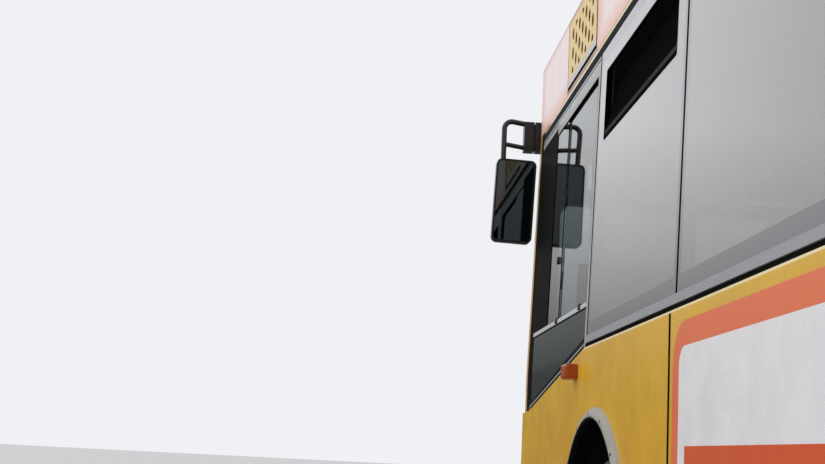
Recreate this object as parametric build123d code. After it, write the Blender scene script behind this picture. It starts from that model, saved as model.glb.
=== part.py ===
"""Low-floor city bus, twelve metres, gas engine at the rear and tanks on the roof.

Frame: origin on the ground under the middle of the bus, +Z up, the front faces -Y,
the driver sits on the left, which is +X. The passenger doors are on the right, -X.
All lengths are in millimetres.
"""
from build123d import *
from math import atan, cos, radians, sin, tan
import os

os.makedirs("parts", exist_ok=True)

# Overall body
HALF_WIDTH = 1250
FRONT_Y = -6000
REAR_Y = 6000
SKIRT_Z = 300
WAIST_Z = 1435
CANT_Z = 2867
TUMBLE = 0.0272
TOP_RAKE = 40
REAR_RAKE = 20
WALL = 50

# Rounded ends, seen from above
CORNER_Y = -5532
CORNER_R = 300
LOW_CORNER_Y = -5636
LOW_CORNER_R = 220
REAR_CORNER_R = 200
FRONT_SPLIT_Z = 1215
BUMPER_TOP_Z = 560
TOW_Z = 420
TOW_R = 20

# Wheels
TYRE_R = 478.5
TYRE_WIDTH = 276
TYRE_BORE_R = 285
TYRE_BEAD = 33
TYRE_INSET = 40
FRONT_AXLE_Y = -3390
REAR_AXLE_Y = 2600
TWIN_GAP = 35
KINGPIN_X = 930
HUB_REACH = 110
HUB_SEAT_X = 618
HUB_R = 120
HUB_CAP = 30
RUN_GAP = 0.3
BEAM_HALF = 45
EYE_R = 48
EYE_HALF = 60
EAR = 35
FORK_X = 80
FORK = 24
STUB_X = 60
STUB_R = 90
PAD_HALF = 35
PAD_FOOT_Z = 200
RIM_WALL = 18
FRONT_DISH = 22
TWIN_DISH = 70
DISC_WALL = 14
HAND_HOLE_R = 26
HAND_HOLE_RING = 205
HAND_HOLES = 8
DISC_FLAT_R = 150

# Wheel arches
ARCH_R = 705
ARCH_Z = 420
TRIM_BAND = 52
TRIM_PROUD = 25
HOUSE_GAP = 15
HOUSE_SHEET = 10
HOUSE_REACH = ARCH_R + HOUSE_GAP + HOUSE_SHEET
FRONT_HOUSE_X = 590
REAR_HOUSE_X = 520

# Floor and frame under it
FLOOR_Z = 360
FLOOR_SHEET = 30
FRAME_TOP_Z = FLOOR_Z - FLOOR_SHEET
RAIL_X = 470
RAIL_WIDTH = 80
RAIL_DEPTH = 100
MEMBER_DEPTH = 60
MEMBER_HALF = 30
FLOOR_FRONT_Y = -5630
BULKHEAD_Y = 4780
BULKHEAD = 40
PODIUM_Z = 1150

# Bonded side glass
GLASS = 8
GLASS_LOW_Z = 1502
GLASS_TOP_Z = 2801
GLASS_JOINT = 8
PILLAR = 90
WINDOW_LOW_Z = 1560
WINDOW_TOP_Z = 2745
RAIL_LOW_Z = 1467
RAIL_PROUD = 4
GROOVE_LOW_Z = 1450
GROOVE = 4
SEAM = 6
HOPPER_LOW_Z = 2370
HOPPER_TOP_Z = 2674
HOPPER_EDGE = 150
HOPPER_TILT = 12

# Driver's window
CAB_REAR_Y = -3629
CAB_FRONT_Y = -5400
CAB_TOP_Z = 2752
SILL_END_Y = -5372
SILL_END_Z = 1208
SILL_BEND = 44
SILL_RISE = 15
CAB_JAMB = 16
CAB_DIVIDER_Z = 1645
CAB_POST_Y = -4860
CAB_SLIDE_Y = -4530
CAB_LAP = 20
CAB_FRAME = 42
CAB_BAR_HALF = 14
CAB_CORNER_R = 55
CAB_PANE_DEPTH = 3
CAB_SLIDE_DEPTH = 11
CAB_PANE = 6

# Doors
DOOR_WIDTH = 1200
FRONT_DOOR_Y = -5450
MIDDLE_DOOR_Y = -1000
REAR_DOOR_Y = 3500
DOOR_TOP_Z = 2470
DOOR_GAP = 5
LEAF = 40
LEAF_MEET = 17
LEAF_EDGE = 65
LEAF_CORNER_R = 45
POST_IN = 75
POST_SET = 30
POST_R = 18
ARM_HALF = 14
ARM_HEIGHT = 70
ARM_Z = (480, 1180, 1700)
COVER_X = -1020
COVER_HEIGHT = 170

# Roof and fairing
ROOF_Z = 2950
ROOF_SHEET = 35
BOARD = 25
BOARD_GAP = 6
FAIRING_TOP_Z = 3276
FAIRING_SPLIT_X = 850
GRILLE_FRONT_Y = -4618
GRILLE_REAR_Y = -3794
GRILLE_FOOT = 26
GRILLE_HEAD = 8
GRILLE_SHEET = 8
GRILLE_IN = 2
FIELD_LOW_Z = 2963
FIELD_TOP_Z = 3226
HOLE_HALF_Y = 24
HOLE_HALF_Z = 39
HOLE_SHOULDER = 16
HOLE_LOW_Z = 2965
HOLE_PITCH_Y = 93.5
HOLE_PITCH_Z = 105
HOLE_COLUMNS = 7
HOLE_ROWS = 3
TANK_R = 150
TANK_LENGTH = 2150
TANK_PITCH = 380
TANK_LIFT = 20
TANK_ROWS = [-3500, -1100]
CRADLE_REACH = 700
CRADLE_HALF = 40
CRADLE_HEIGHT = 60

# Windscreen, blank display, headlamps and wipers
FRONT_CUT = 150
SCREEN_HALF = 1085
SCREEN_FOOT = 50
SCREEN_TOP_Z = 2560
SCREEN_CORNER_R = 110
SIGN_HALF = 900
SIGN_LOW_Z = 2580
SIGN_HEAD = 40
SIGN_CORNER_R = 60
DISPLAY_HALF = 850
DISPLAY_Y = (-5790, -5690)
DISPLAY_Z = (2600, 2815)
HANGER_X = (780, 820)
HANGER_Y = (-5760, -5700)
LAMP_X = (690, 1060)
LAMP_Z = (640, 820)
LAMP_CORNER_R = 60
LAMP_CUT = 60
LAMP_SEAT = 20
LAMP_PROUD = 6
WIPER_CLEAR = 6
WIPER_PROUD = 16
WIPER_X = 72
WIPER_PIVOT_Z = 1240
WIPER_PIVOT_R = 24
WIPER_ARM_HALF = 12
WIPER_BLADE_X = 980
WIPER_BLADE_Z = (1300, 1318)

# Rear window and tail lamps
REAR_PANE_HALF = 850
REAR_PANE_Z = (1620, 2560)
REAR_PANE_R = 90
TAIL_X = (1040, 1160)
TAIL_Z = (700, 1200)
TAIL_CORNER_R = 50
TAIL_SEAT = 15
TAIL_PROUD = 5

# Engine lid
LID_HALF = 1000
LID_LOW_Z = 430
LID_TOP_Z = 1330
LID_GAP = 8
HINGE_R = 6
HINGE_LENGTH = 40
LOUVRE_HALF = 330
LOUVRE_HEIGHT = 18
LOUVRE_PITCH = 42
LOUVRES = 9
LOUVRE_TILT = 35
LID_PIN_IN = 4
LID_HINGES_X = (-520, 480)
ENGINE_HALF = 520
ENGINE_Y = (BULKHEAD_Y + 120, 5750)
ENGINE_TOP_Z = 1060
PODIUM_REAR_Y = 5790

# Roof hatches, hinged at their front edge
HATCHES = [{"name": "front", "y": 900}, {"name": "rear", "y": 3300}]
HATCH_HALF = 380
HATCH_LENGTH = 620
HATCH_LAP = 30
HATCH_SHEET = 40
HATCH_PLUG = 15
HATCH_HINGE_R = 8
HATCH_HINGE_AHEAD = 9
HATCH_HINGES_X = (-300, 260)
HATCH_TAB = 4
PLUG_DEPTH = 30
PLUG_LAP = 10

# Side lamps
REPEATER_PROUD = 62
REPEATER_Y = (-3940, -3822)
REPEATER_Z = (1317, 1388)
REPEATER_CORNER_R = 18
REPEATER_EDGE_R = 14

# Mirrors
MIRROR_Y = -5600
MIRROR_X = 1360
MIRROR_Z = 2470
MIRROR_WIDTH = 240
MIRROR_HEIGHT = 505
MIRROR_DEPTH = 90
MIRROR_POCKET = 10
MIRROR_LEAN = 2
TUBE_R = 16
TUBE_X = 1430
TUBE_TOP_Z = 2948
TUBE_RISE = 24
TUBE_BEND_R = 45
STAY_R = 14
CLAMP_X = [(1186, 1245), (1251, 1312)]
CLAMP_LOW_Z = 2780
CLAMP_TOP_Z = 2962

# Panes on the left side, between their joint lines from front to rear
WINDOW_PITCH = 1607.7
LEFT_PANES = 6
LAST_JOINT_Y = 5780
LEFT_JOINTS = [CAB_REAR_Y + step * WINDOW_PITCH for step in range(LEFT_PANES)] + [LAST_JOINT_Y]
LEFT_HOPPERS = [0, 2, 4]
LEFT_SEAMS = [-2095, 1820]

# Doorways: name and front edge
DOORWAYS = [
    {"name": "front", "y": FRONT_DOOR_Y},
    {"name": "middle", "y": MIDDLE_DOOR_Y},
    {"name": "rear", "y": REAR_DOOR_Y},
]

# Right side panels between the doorways: name, front and rear edge, pane count, panes with a hopper
RIGHT_PANELS = [
    {"name": "side_right_front", "y0": FRONT_DOOR_Y + DOOR_WIDTH, "y1": MIDDLE_DOOR_Y,
     "panes": 2, "hoppers": [0]},
    {"name": "side_right_middle", "y0": MIDDLE_DOOR_Y + DOOR_WIDTH, "y1": REAR_DOOR_Y,
     "panes": 2, "hoppers": [0]},
    {"name": "side_right_rear", "y0": REAR_DOOR_Y + DOOR_WIDTH, "y1": REAR_Y - REAR_CORNER_R,
     "panes": 1, "hoppers": []},
]
PANE_MARGIN = 20

# Seats: middle across the bus, front edge of the first, how many one behind another, base height
SEAT_PITCH = 820
SEAT_WIDTH = 860
SEAT_GAP = 12
SEAT_CORNER_R = 70
SEAT_ROWS = [
    {"x": 750, "first": FRONT_AXLE_Y + HOUSE_REACH + 100, "count": 5, "z": FLOOR_Z},
    {"x": -750, "first": FRONT_AXLE_Y + HOUSE_REACH + 100, "count": 2, "z": FLOOR_Z},
    {"x": -750, "first": MIDDLE_DOOR_Y + DOOR_WIDTH + 220, "count": 2, "z": FLOOR_Z},
    {"x": 750, "first": REAR_AXLE_Y + HOUSE_REACH + 150, "count": 1, "z": FLOOR_Z},
    {"x": 720, "first": BULKHEAD_Y + 180, "count": 1, "z": PODIUM_Z - 330},
    {"x": -720, "first": BULKHEAD_Y + 180, "count": 1, "z": PODIUM_Z - 330},
]

# Cab
PARTITION_Y = FRONT_AXLE_Y - HOUSE_REACH - 60
PARTITION = 40
PARTITION_X = 230
PLINTH_Z = 480
DRIVER_X = 630
HANDRAIL_X = 300
HANDRAIL_Z = 2010
HANDRAIL_R = 17

FAR = 7000


def box(x0, x1, y0, y1, z0, z1):
    """A block between two corners."""
    size = (x1 - x0, y1 - y0, z1 - z0)
    return Pos((x0 + x1) / 2, (y0 + y1) / 2, (z0 + z1) / 2) * Box(*size)


def rod_x(x0, x1, y, z, radius):
    """A round bar along X."""
    return Pos((x0 + x1) / 2, y, z) * Rot(0, 90, 0) * Cylinder(radius, abs(x1 - x0))


def rod_y(x, y0, y1, z, radius):
    """A round bar along Y."""
    return Pos(x, (y0 + y1) / 2, z) * Rot(90, 0, 0) * Cylinder(radius, abs(y1 - y0))


def rod_z(x, y, z0, z1, radius):
    """A round bar along Z."""
    return Pos(x, y, (z0 + z1) / 2) * Cylinder(radius, z1 - z0)


def slab_x(x0, x1, y0, y1, z0, z1, radius):
    """A block along X with rounded corners seen from the side."""
    outline = Pos((y0 + y1) / 2, (z0 + z1) / 2) * RectangleRounded(y1 - y0, z1 - z0, radius)
    return extrude(Plane.YZ.offset(x0) * outline, x1 - x0)


def slab_y(x0, x1, y0, y1, z0, z1, radius):
    """A block along Y with rounded corners seen from the front."""
    outline = Pos((x0 + x1) / 2, (z0 + z1) / 2) * RectangleRounded(x1 - x0, z1 - z0, radius)
    return extrude(Plane.XZ.offset(-y1) * outline, y1 - y0)


def across(points, x0, x1):
    """A side-view outline of (y, z) points, drawn out along X."""
    return extrude(Plane.YZ.offset(x0) * make_face(Polyline(*points, points[0])), x1 - x0)


def along(points, y0, y1):
    """A front-view outline of (x, z) points, drawn out along Y."""
    return extrude(Plane.XZ.offset(-y1) * make_face(Polyline(*points, points[0])), y1 - y0)


def side_x(z):
    """Distance of the outer side face from the middle at a height."""
    return HALF_WIDTH - max(0, z - WAIST_Z) * tan(TUMBLE)


def both_sides(shape):
    """A shape and its mirror image on the other side of the bus."""
    return shape + mirror(shape, about=Plane.YZ)


def keep(node, *shapes):
    """Write one piece, as a compound of its solids."""
    solids = [solid for shape in shapes for solid in shape.solids()]
    export_step(Compound(children=solids), f"parts/{node}.step")


def corner_turn(half, corner_y, corner_r, front_y):
    """Angle that a front corner arc turns through before it runs into the bowed front."""
    return radians(90) - 2 * atan((corner_y - front_y - corner_r) / (half - corner_r))


def bow_mid(half, corner_y, corner_r, front_y, inset):
    """Middle point of one half of the bowed front."""
    turn = corner_turn(half, corner_y, corner_r, front_y)
    bow_r = corner_r + (half - corner_r) / cos(turn)
    angle = (radians(90) - turn) / 2
    reach = bow_r - inset
    return (reach * sin(angle), front_y + bow_r - reach * cos(angle))


def plan_wire(half, corner_y, corner_r, front_y, rear_y, z, inset):
    """Outline seen from above: bowed front, two front corner arcs, straight sides, rounded rear."""
    turn = corner_turn(half, corner_y, corner_r, front_y)
    r = corner_r - inset
    cx = half - corner_r
    rear_r = REAR_CORNER_R - inset
    rear_cx = half - REAR_CORNER_R
    rear_cy = rear_y - REAR_CORNER_R
    side = half - inset
    bow_end = (cx + r * cos(turn), corner_y - r * sin(turn))
    corner_mid = (cx + r * cos(turn / 2), corner_y - r * sin(turn / 2))
    rear_mid = (rear_cx + rear_r * sin(radians(45)), rear_cy + rear_r * sin(radians(45)))
    bow = bow_mid(half, corner_y, corner_r, front_y, inset)
    edges = []
    for s in (1, -1):
        edges += [
            ThreePointArc((0, front_y + inset), (s * bow[0], bow[1]), (s * bow_end[0], bow_end[1])),
            ThreePointArc(
                (s * bow_end[0], bow_end[1]), (s * corner_mid[0], corner_mid[1]), (s * side, corner_y)),
            Line((s * side, corner_y), (s * side, rear_cy)),
            ThreePointArc(
                (s * side, rear_cy), (s * rear_mid[0], rear_mid[1]), (s * rear_cx, rear_y - inset)),
            Line((s * rear_cx, rear_y - inset), (0, rear_y - inset)),
        ]
    return Pos(0, 0, z) * Wire([edge.edge() for edge in edges])


def body_block(inset):
    """The body as a filled block, smaller by an inset all round."""
    low = (HALF_WIDTH, CORNER_Y, CORNER_R, FRONT_Y, REAR_Y)
    high = (side_x(CANT_Z), CORNER_Y, CORNER_R, FRONT_Y + TOP_RAKE, REAR_Y - REAR_RAKE)
    bottom = Solid.make_loft([plan_wire(*low, SKIRT_Z, inset), plan_wire(*low, WAIST_Z, inset)], True)
    top = Solid.make_loft([plan_wire(*low, WAIST_Z, inset), plan_wire(*high, CANT_Z, inset)], True)
    return bottom + top


def low_front_block(inset):
    """The fuller front below the windscreen as a filled block."""
    plan = (HALF_WIDTH, LOW_CORNER_Y, LOW_CORNER_R, FRONT_Y, REAR_Y)
    return Solid.make_loft([plan_wire(*plan, SKIRT_Z, inset), plan_wire(*plan, FRONT_SPLIT_Z, inset)], True)


def fairing_block(inset, z0, z1):
    """The roof fairing's outline as a filled block."""
    plan = (side_x(CANT_Z), CORNER_Y, CORNER_R, FRONT_Y + TOP_RAKE, REAR_Y - REAR_RAKE)
    return Solid.make_loft([plan_wire(*plan, z0, inset), plan_wire(*plan, z1, inset)], True)


OUTER = body_block(0)
GLASS_LINE = body_block(GLASS)
LEAF_LINE = body_block(LEAF)
INNER = body_block(WALL)
SHELL = OUTER - INNER
SKIN = OUTER - GLASS_LINE


def arch_cut(axle_y):
    """The wheel arch as a round cut across both sides."""
    reach = 2 * HALF_WIDTH
    top = rod_x(-reach, reach, axle_y, ARCH_Z, ARCH_R)
    return top + box(-reach, reach, axle_y - ARCH_R, axle_y + ARCH_R, 0, ARCH_Z)


def seam_cut(ys):
    """Shallow joint lines between the lower side panels, and the groove under the waist rail."""
    layer = OUTER - body_block(GROOVE)
    cuts = box(-FAR, FAR, CAB_REAR_Y - SILL_BEND, LAST_JOINT_Y, GROOVE_LOW_Z, RAIL_LOW_Z)
    for y in ys:
        cuts += box(-FAR, FAR, y - SEAM / 2, y + SEAM / 2, SKIRT_Z, GROOVE_LOW_Z)
    return layer & cuts


def pane_boxes(joints):
    """Front and rear edge of each pane between its joint lines."""
    half = GLASS_JOINT / 2
    return [(a + half, b - half) for a, b in zip(joints, joints[1:])]


def panel_joints(row):
    """Joint lines of one right panel, evenly spaced between its ends."""
    start = row["y0"] + PANE_MARGIN
    pitch = (row["y1"] - PANE_MARGIN - start) / row["panes"]
    return [start + step * pitch for step in range(row["panes"] + 1)]


def glazed_panel(sign, y0, y1, joints):
    """One stretch of side wall, rebated for its glass, with the window openings behind it."""
    near, far = sorted((sign * HALF_WIDTH * 0.5, sign * 2 * HALF_WIDTH))
    panel = SHELL & box(near, far, y0, y1, SKIRT_Z, CANT_Z)
    panel -= SKIN & box(near, far, joints[0], joints[-1], RAIL_LOW_Z, GLASS_TOP_Z)
    for a, b in pane_boxes(joints):
        panel -= box(near, far, a + PILLAR / 2, b - PILLAR / 2, WINDOW_LOW_Z, WINDOW_TOP_Z)
    return panel


def glass_panes(sign, joints, hoppers):
    """The bonded panes of one stretch, some with a hopper that stands open."""
    near, far = sorted((sign * HALF_WIDTH * 0.5, sign * 2 * HALF_WIDTH))
    panes = Part()
    for index, (a, b) in enumerate(pane_boxes(joints)):
        pane = SKIN & box(near, far, a, b, GLASS_LOW_Z, GLASS_TOP_Z)
        if index in hoppers:
            hop = (a + HOPPER_EDGE, b - HOPPER_EDGE)
            pane -= box(near, far, *hop, HOPPER_LOW_Z, HOPPER_TOP_Z)
            pane += hopper_sash(sign, *hop)
        panes += pane
    return panes


def hopper_sash(sign, y0, y1):
    """A hopper pane tilted inwards about its lower edge."""
    height = HOPPER_TOP_Z - HOPPER_LOW_Z
    sash = box(-GLASS, 0, y0, y1, 0, height - 20)
    sash = Pos(side_x(HOPPER_LOW_Z), 0, HOPPER_LOW_Z) * Rot(0, -HOPPER_TILT, 0) * sash
    return sash if sign > 0 else mirror(sash, about=Plane.YZ)


def sill_z(y):
    """Height of the sloping sill under the driver's window."""
    bend_y = CAB_REAR_Y - SILL_BEND
    slope = (WAIST_Z - SILL_END_Z) / (bend_y - SILL_END_Y)
    return WAIST_Z - (bend_y - y) * slope


def cab_opening(margin):
    """The driver's window opening with its sloping sill, as a block through the left wall."""
    rear = CAB_REAR_Y - CAB_JAMB
    rise = SILL_RISE + margin
    outline = make_face(Polyline(
        (rear - margin, sill_z(rear) + rise),
        (CAB_FRONT_Y + margin, sill_z(CAB_FRONT_Y) + rise),
        (CAB_FRONT_Y + margin, CAB_TOP_Z - margin),
        (rear - margin, CAB_TOP_Z - margin),
        (rear - margin, sill_z(rear) + rise)))
    outline = fillet(outline.vertices(), CAB_CORNER_R - margin / 2)
    return extrude(Plane.YZ.offset(HALF_WIDTH / 2) * outline, HALF_WIDTH)


def side_left():
    wall = glazed_panel(1, CORNER_Y, REAR_Y - REAR_CORNER_R, LEFT_JOINTS)
    wall += box(HALF_WIDTH - WALL, HALF_WIDTH, LOW_CORNER_Y, CORNER_Y, SKIRT_Z, FRONT_SPLIT_Z)
    wall -= cab_opening(0)
    wall -= seam_cut(LEFT_SEAMS)
    wall -= arch_cut(FRONT_AXLE_Y) + arch_cut(REAR_AXLE_Y)
    keep("side_left", wall)


def side_right():
    for row in RIGHT_PANELS:
        panel = glazed_panel(-1, row["y0"], row["y1"], panel_joints(row))
        panel -= seam_cut([])
        panel -= arch_cut(FRONT_AXLE_Y) + arch_cut(REAR_AXLE_Y)
        keep(row["name"], panel)


def side_glass():
    panes = glass_panes(1, LEFT_JOINTS, LEFT_HOPPERS)
    for row in RIGHT_PANELS:
        panes += glass_panes(-1, panel_joints(row), row["hoppers"])
    keep("side_glass", panes)


def waist_rails():
    """Thin rail under the glass on both sides."""
    layer = body_block(-RAIL_PROUD) - GLASS_LINE
    rails = layer & box(0, FAR, LEFT_JOINTS[0], LEFT_JOINTS[-1], RAIL_LOW_Z, GLASS_LOW_Z - 2)
    for row in RIGHT_PANELS:
        joints = panel_joints(row)
        rails += layer & box(-FAR, 0, joints[0], joints[-1], RAIL_LOW_Z, GLASS_LOW_Z - 2)
    keep("waist_rails", rails)


def cab_window():
    """Rubber frame with a broad front post over its cross bar, fixed panes and one that slides inside."""
    layer = OUTER - LEAF_LINE
    inside = cab_opening(CAB_FRAME)
    bar = box(0, FAR, CAB_FRONT_Y, CAB_REAR_Y, CAB_DIVIDER_Z - CAB_BAR_HALF, CAB_DIVIDER_Z + CAB_BAR_HALF)
    post = box(0, FAR, CAB_FRONT_Y, CAB_POST_Y, CAB_DIVIDER_Z, CAB_TOP_Z)
    frame = layer & (cab_opening(0) - inside)
    frame += layer & (bar + post) & inside
    keep("cab_window_frame", frame)
    behind = box(0, FAR, CAB_SLIDE_Y + CAB_LAP, CAB_REAR_Y, CAB_DIVIDER_Z, CAB_TOP_Z)
    slide = box(0, FAR, CAB_SLIDE_Y, CAB_REAR_Y, CAB_DIVIDER_Z, CAB_TOP_Z)
    fixed = body_block(CAB_PANE_DEPTH) - body_block(CAB_PANE_DEPTH + CAB_PANE)
    sliding = body_block(CAB_SLIDE_DEPTH) - body_block(CAB_SLIDE_DEPTH + CAB_PANE)
    panes = (fixed & inside) - bar - post - behind
    slider = (sliding & inside & slide) - bar
    keep("cab_window_glass", panes, slider)


def front_end():
    back = CORNER_Y - FRONT_CUT
    screen_z = (FRONT_SPLIT_Z + SCREEN_FOOT, SCREEN_TOP_Z)
    screen = slab_y(-SCREEN_HALF, SCREEN_HALF, -FAR, back, *screen_z, SCREEN_CORNER_R)
    sign = slab_y(-SIGN_HALF, SIGN_HALF, -FAR, back, SIGN_LOW_Z, CANT_Z - SIGN_HEAD, SIGN_CORNER_R)
    mask = SHELL & box(-FAR, FAR, -FAR, CORNER_Y, FRONT_SPLIT_Z, CANT_Z)
    mask += SHELL & box(-FAR, 0, CORNER_Y, FRONT_DOOR_Y, SKIRT_Z, CANT_Z)
    mask += box(-HALF_WIDTH, -HALF_WIDTH + WALL, LOW_CORNER_Y, CORNER_Y, SKIRT_Z, FRONT_SPLIT_Z)
    mask -= screen + sign
    keep("front_mask", mask)
    keep("windscreen", SKIN & (screen + sign))
    display = box(-DISPLAY_HALF, DISPLAY_HALF, *DISPLAY_Y, *DISPLAY_Z)
    hangers = both_sides(box(*HANGER_X, *HANGER_Y, DISPLAY_Z[1] + RUN_GAP, ROOF_Z - ROOF_SHEET))
    keep("destination_display", display, hangers)
    low = low_front_block(0) - low_front_block(WALL)
    lamps = both_sides(slab_y(*LAMP_X, -FAR, LOW_CORNER_Y - LAMP_CUT, *LAMP_Z, LAMP_CORNER_R))
    seat = (low_front_block(0) - low_front_block(LAMP_SEAT)) & lamps
    panel = low & box(-FAR, FAR, -FAR, LOW_CORNER_Y, BUMPER_TOP_Z, FRONT_SPLIT_Z)
    keep("front_panel", panel - seat)
    keep("headlamps", (low_front_block(-LAMP_PROUD) - low_front_block(LAMP_SEAT)) & lamps)
    bumper = low & box(-FAR, FAR, -FAR, LOW_CORNER_Y, SKIRT_Z, BUMPER_TOP_Z)
    keep("front_bumper", bumper - rod_y(0, FRONT_Y - WALL, FRONT_Y + 2 * WALL, TOW_Z, TOW_R))


def wipers():
    """Two wipers parked along the foot of the windscreen: pivot, arm and blade on each side."""
    outer = body_block(-WIPER_PROUD)
    layer = outer - body_block(-WIPER_CLEAR)
    near = WIPER_X - WIPER_ARM_HALF
    far = WIPER_X + WIPER_ARM_HALF
    pivots = (outer - OUTER) & both_sides(rod_y(WIPER_X, -FAR, 0, WIPER_PIVOT_Z, WIPER_PIVOT_R))
    arms = layer & both_sides(box(near, far, -FAR, 0, WIPER_PIVOT_Z, WIPER_BLADE_Z[1]))
    blades = layer & both_sides(box(near, WIPER_BLADE_X, -FAR, CORNER_Y, *WIPER_BLADE_Z))
    keep("wipers", pivots + arms + blades)


def lid_hinges(start, y, z):
    """Hinge knuckles of the engine lid, from a start beside each hinge's middle."""
    knuckles = Part()
    for x in LID_HINGES_X:
        x0 = x + start
        x1 = x0 + HINGE_LENGTH - (RUN_GAP if start else 0)
        knuckles += rod_x(x0, x1, y, LID_TOP_Z, HINGE_R)
        knuckles += box(x0, x1, y - HINGE_R, y, min(z, LID_TOP_Z), max(z, LID_TOP_Z))
    return knuckles


def rear_end():
    back = REAR_Y - 2 * WALL
    hinge_y = REAR_Y - LID_PIN_IN
    wall = SHELL & box(-FAR, FAR, REAR_Y - REAR_CORNER_R, FAR, SKIRT_Z, CANT_Z)
    window = slab_y(-REAR_PANE_HALF, REAR_PANE_HALF, back, FAR, *REAR_PANE_Z, REAR_PANE_R)
    wall -= window
    wall -= box(-LID_HALF, LID_HALF, back, FAR, LID_LOW_Z, LID_TOP_Z + LID_GAP)
    lamps = both_sides(slab_y(*TAIL_X, back, FAR, *TAIL_Z, TAIL_CORNER_R))
    wall -= (OUTER - body_block(TAIL_SEAT)) & lamps
    wall += lid_hinges(HINGE_LENGTH + RUN_GAP, hinge_y, LID_TOP_Z + LID_GAP)
    keep("rear_wall", wall)
    keep("rear_window", SKIN & window)
    keep("tail_lamps", (body_block(-TAIL_PROUD) - body_block(TAIL_SEAT)) & lamps)
    reach = LID_HALF - LID_GAP
    lid = box(-reach, reach, REAR_Y - LEAF, REAR_Y, LID_LOW_Z + LID_GAP, LID_TOP_Z - LID_GAP)
    for side in (-1, 1):
        middle = side * (LID_HALF / 2)
        for row in range(LOUVRES):
            z = (LID_LOW_Z + LID_TOP_Z) / 2 + (row - (LOUVRES - 1) / 2) * LOUVRE_PITCH
            slot = Box(2 * LOUVRE_HALF, 2 * LEAF, LOUVRE_HEIGHT)
            lid -= Pos(middle, REAR_Y - LEAF / 2, z) * Rot(LOUVRE_TILT, 0, 0) * slot
    lid += lid_hinges(0, hinge_y, LID_TOP_Z - LID_GAP)
    keep("engine_lid", lid)


def roof():
    inset = BOARD + BOARD_GAP
    tray = fairing_block(inset, CANT_Z, ROOF_Z)
    tray -= fairing_block(inset + ROOF_SHEET, CANT_Z, ROOF_Z - ROOF_SHEET)
    for hatch in HATCHES:
        y0 = hatch["y"]
        y1 = y0 + HATCH_LENGTH
        tray -= box(-HATCH_HALF, HATCH_HALF, y0, y1, CANT_Z, FAIRING_TOP_Z)
        reach = HATCH_HALF + HATCH_LAP
        edge = y0 - HATCH_LAP
        plug = HATCH_HALF - HATCH_PLUG
        lid = box(-reach, reach, edge, y1 + HATCH_LAP, ROOF_Z + RUN_GAP, ROOF_Z + HATCH_SHEET)
        lid += box(-plug, plug, y0 + HATCH_PLUG, y1 - HATCH_PLUG, ROOF_Z - PLUG_DEPTH, ROOF_Z + PLUG_LAP)
        pin_y = edge - HATCH_HINGE_AHEAD
        pin_z = ROOF_Z + RUN_GAP + HATCH_HINGE_R
        for x in HATCH_HINGES_X:
            lid += rod_x(x, x + HINGE_LENGTH, pin_y, pin_z, HATCH_HINGE_R)
            lid += box(x, x + HINGE_LENGTH, pin_y, edge, pin_z - HATCH_TAB, pin_z + HATCH_HINGE_R)
            fixed0 = x + HINGE_LENGTH + RUN_GAP
            fixed1 = fixed0 + HINGE_LENGTH
            tray += rod_x(fixed0, fixed1, pin_y, pin_z, HATCH_HINGE_R)
            tray += box(fixed0, fixed1, pin_y - HATCH_HINGE_R, pin_y + HATCH_HINGE_R, ROOF_Z - 5, pin_z)
        keep(f"roof_hatch_{hatch['name']}", lid)
    keep("roof", tray)


def grille_holes():
    """Staggered columns of upright six-sided openings, cut level along their top and bottom."""
    points = [(0, HOLE_HALF_Z), (HOLE_HALF_Y, HOLE_SHOULDER), (HOLE_HALF_Y, -HOLE_SHOULDER),
              (0, -HOLE_HALF_Z), (-HOLE_HALF_Y, -HOLE_SHOULDER), (-HOLE_HALF_Y, HOLE_SHOULDER)]
    opening = make_face(Polyline(*points, points[0]))
    middle = (GRILLE_FRONT_Y + GRILLE_REAR_Y) / 2
    holes = Sketch()
    for column in range(HOLE_COLUMNS):
        y = middle + (column - (HOLE_COLUMNS - 1) / 2) * HOLE_PITCH_Y
        for row in range(HOLE_ROWS):
            z = HOLE_LOW_Z + (row + column % 2 / 2) * HOLE_PITCH_Z
            holes += Pos(y, z) * opening
    field = Rectangle(GRILLE_REAR_Y - GRILLE_FRONT_Y, FIELD_TOP_Z - FIELD_LOW_Z)
    return holes & Pos(middle, (FIELD_LOW_Z + FIELD_TOP_Z) / 2) * field


def fairing():
    """Boards round the roof with open joints between them, and a perforated panel near the front."""
    ring = fairing_block(0, CANT_Z, FAIRING_TOP_Z) - fairing_block(BOARD, CANT_Z, FAIRING_TOP_Z)
    low = CANT_Z + GRILLE_FOOT
    high = FAIRING_TOP_Z - GRILLE_HEAD
    half = GLASS_JOINT / 2
    ring -= box(-FAR, FAR, GRILLE_FRONT_Y, GRILLE_REAR_Y, low, high)
    for y in LEFT_JOINTS[1:-1]:
        ring -= box(-FAR, FAR, y - half, y + half, CANT_Z, FAIRING_TOP_Z)
    for x in (-FAIRING_SPLIT_X, FAIRING_SPLIT_X):
        ring -= box(x - half, x + half, -FAR, FAR, CANT_Z, FAIRING_TOP_Z)
    keep("roof_fairing", ring)
    sheet = Rectangle(GRILLE_REAR_Y - GRILLE_FRONT_Y - 2 * RUN_GAP, high - low - 2 * RUN_GAP)
    panel = Pos((GRILLE_FRONT_Y + GRILLE_REAR_Y) / 2, (low + high) / 2) * sheet - grille_holes()
    outer_x = side_x(CANT_Z) - GRILLE_IN
    grille = extrude(Plane.YZ.offset(outer_x - GRILLE_SHEET) * panel, GRILLE_SHEET)
    keep("fairing_grilles", both_sides(grille))


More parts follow.
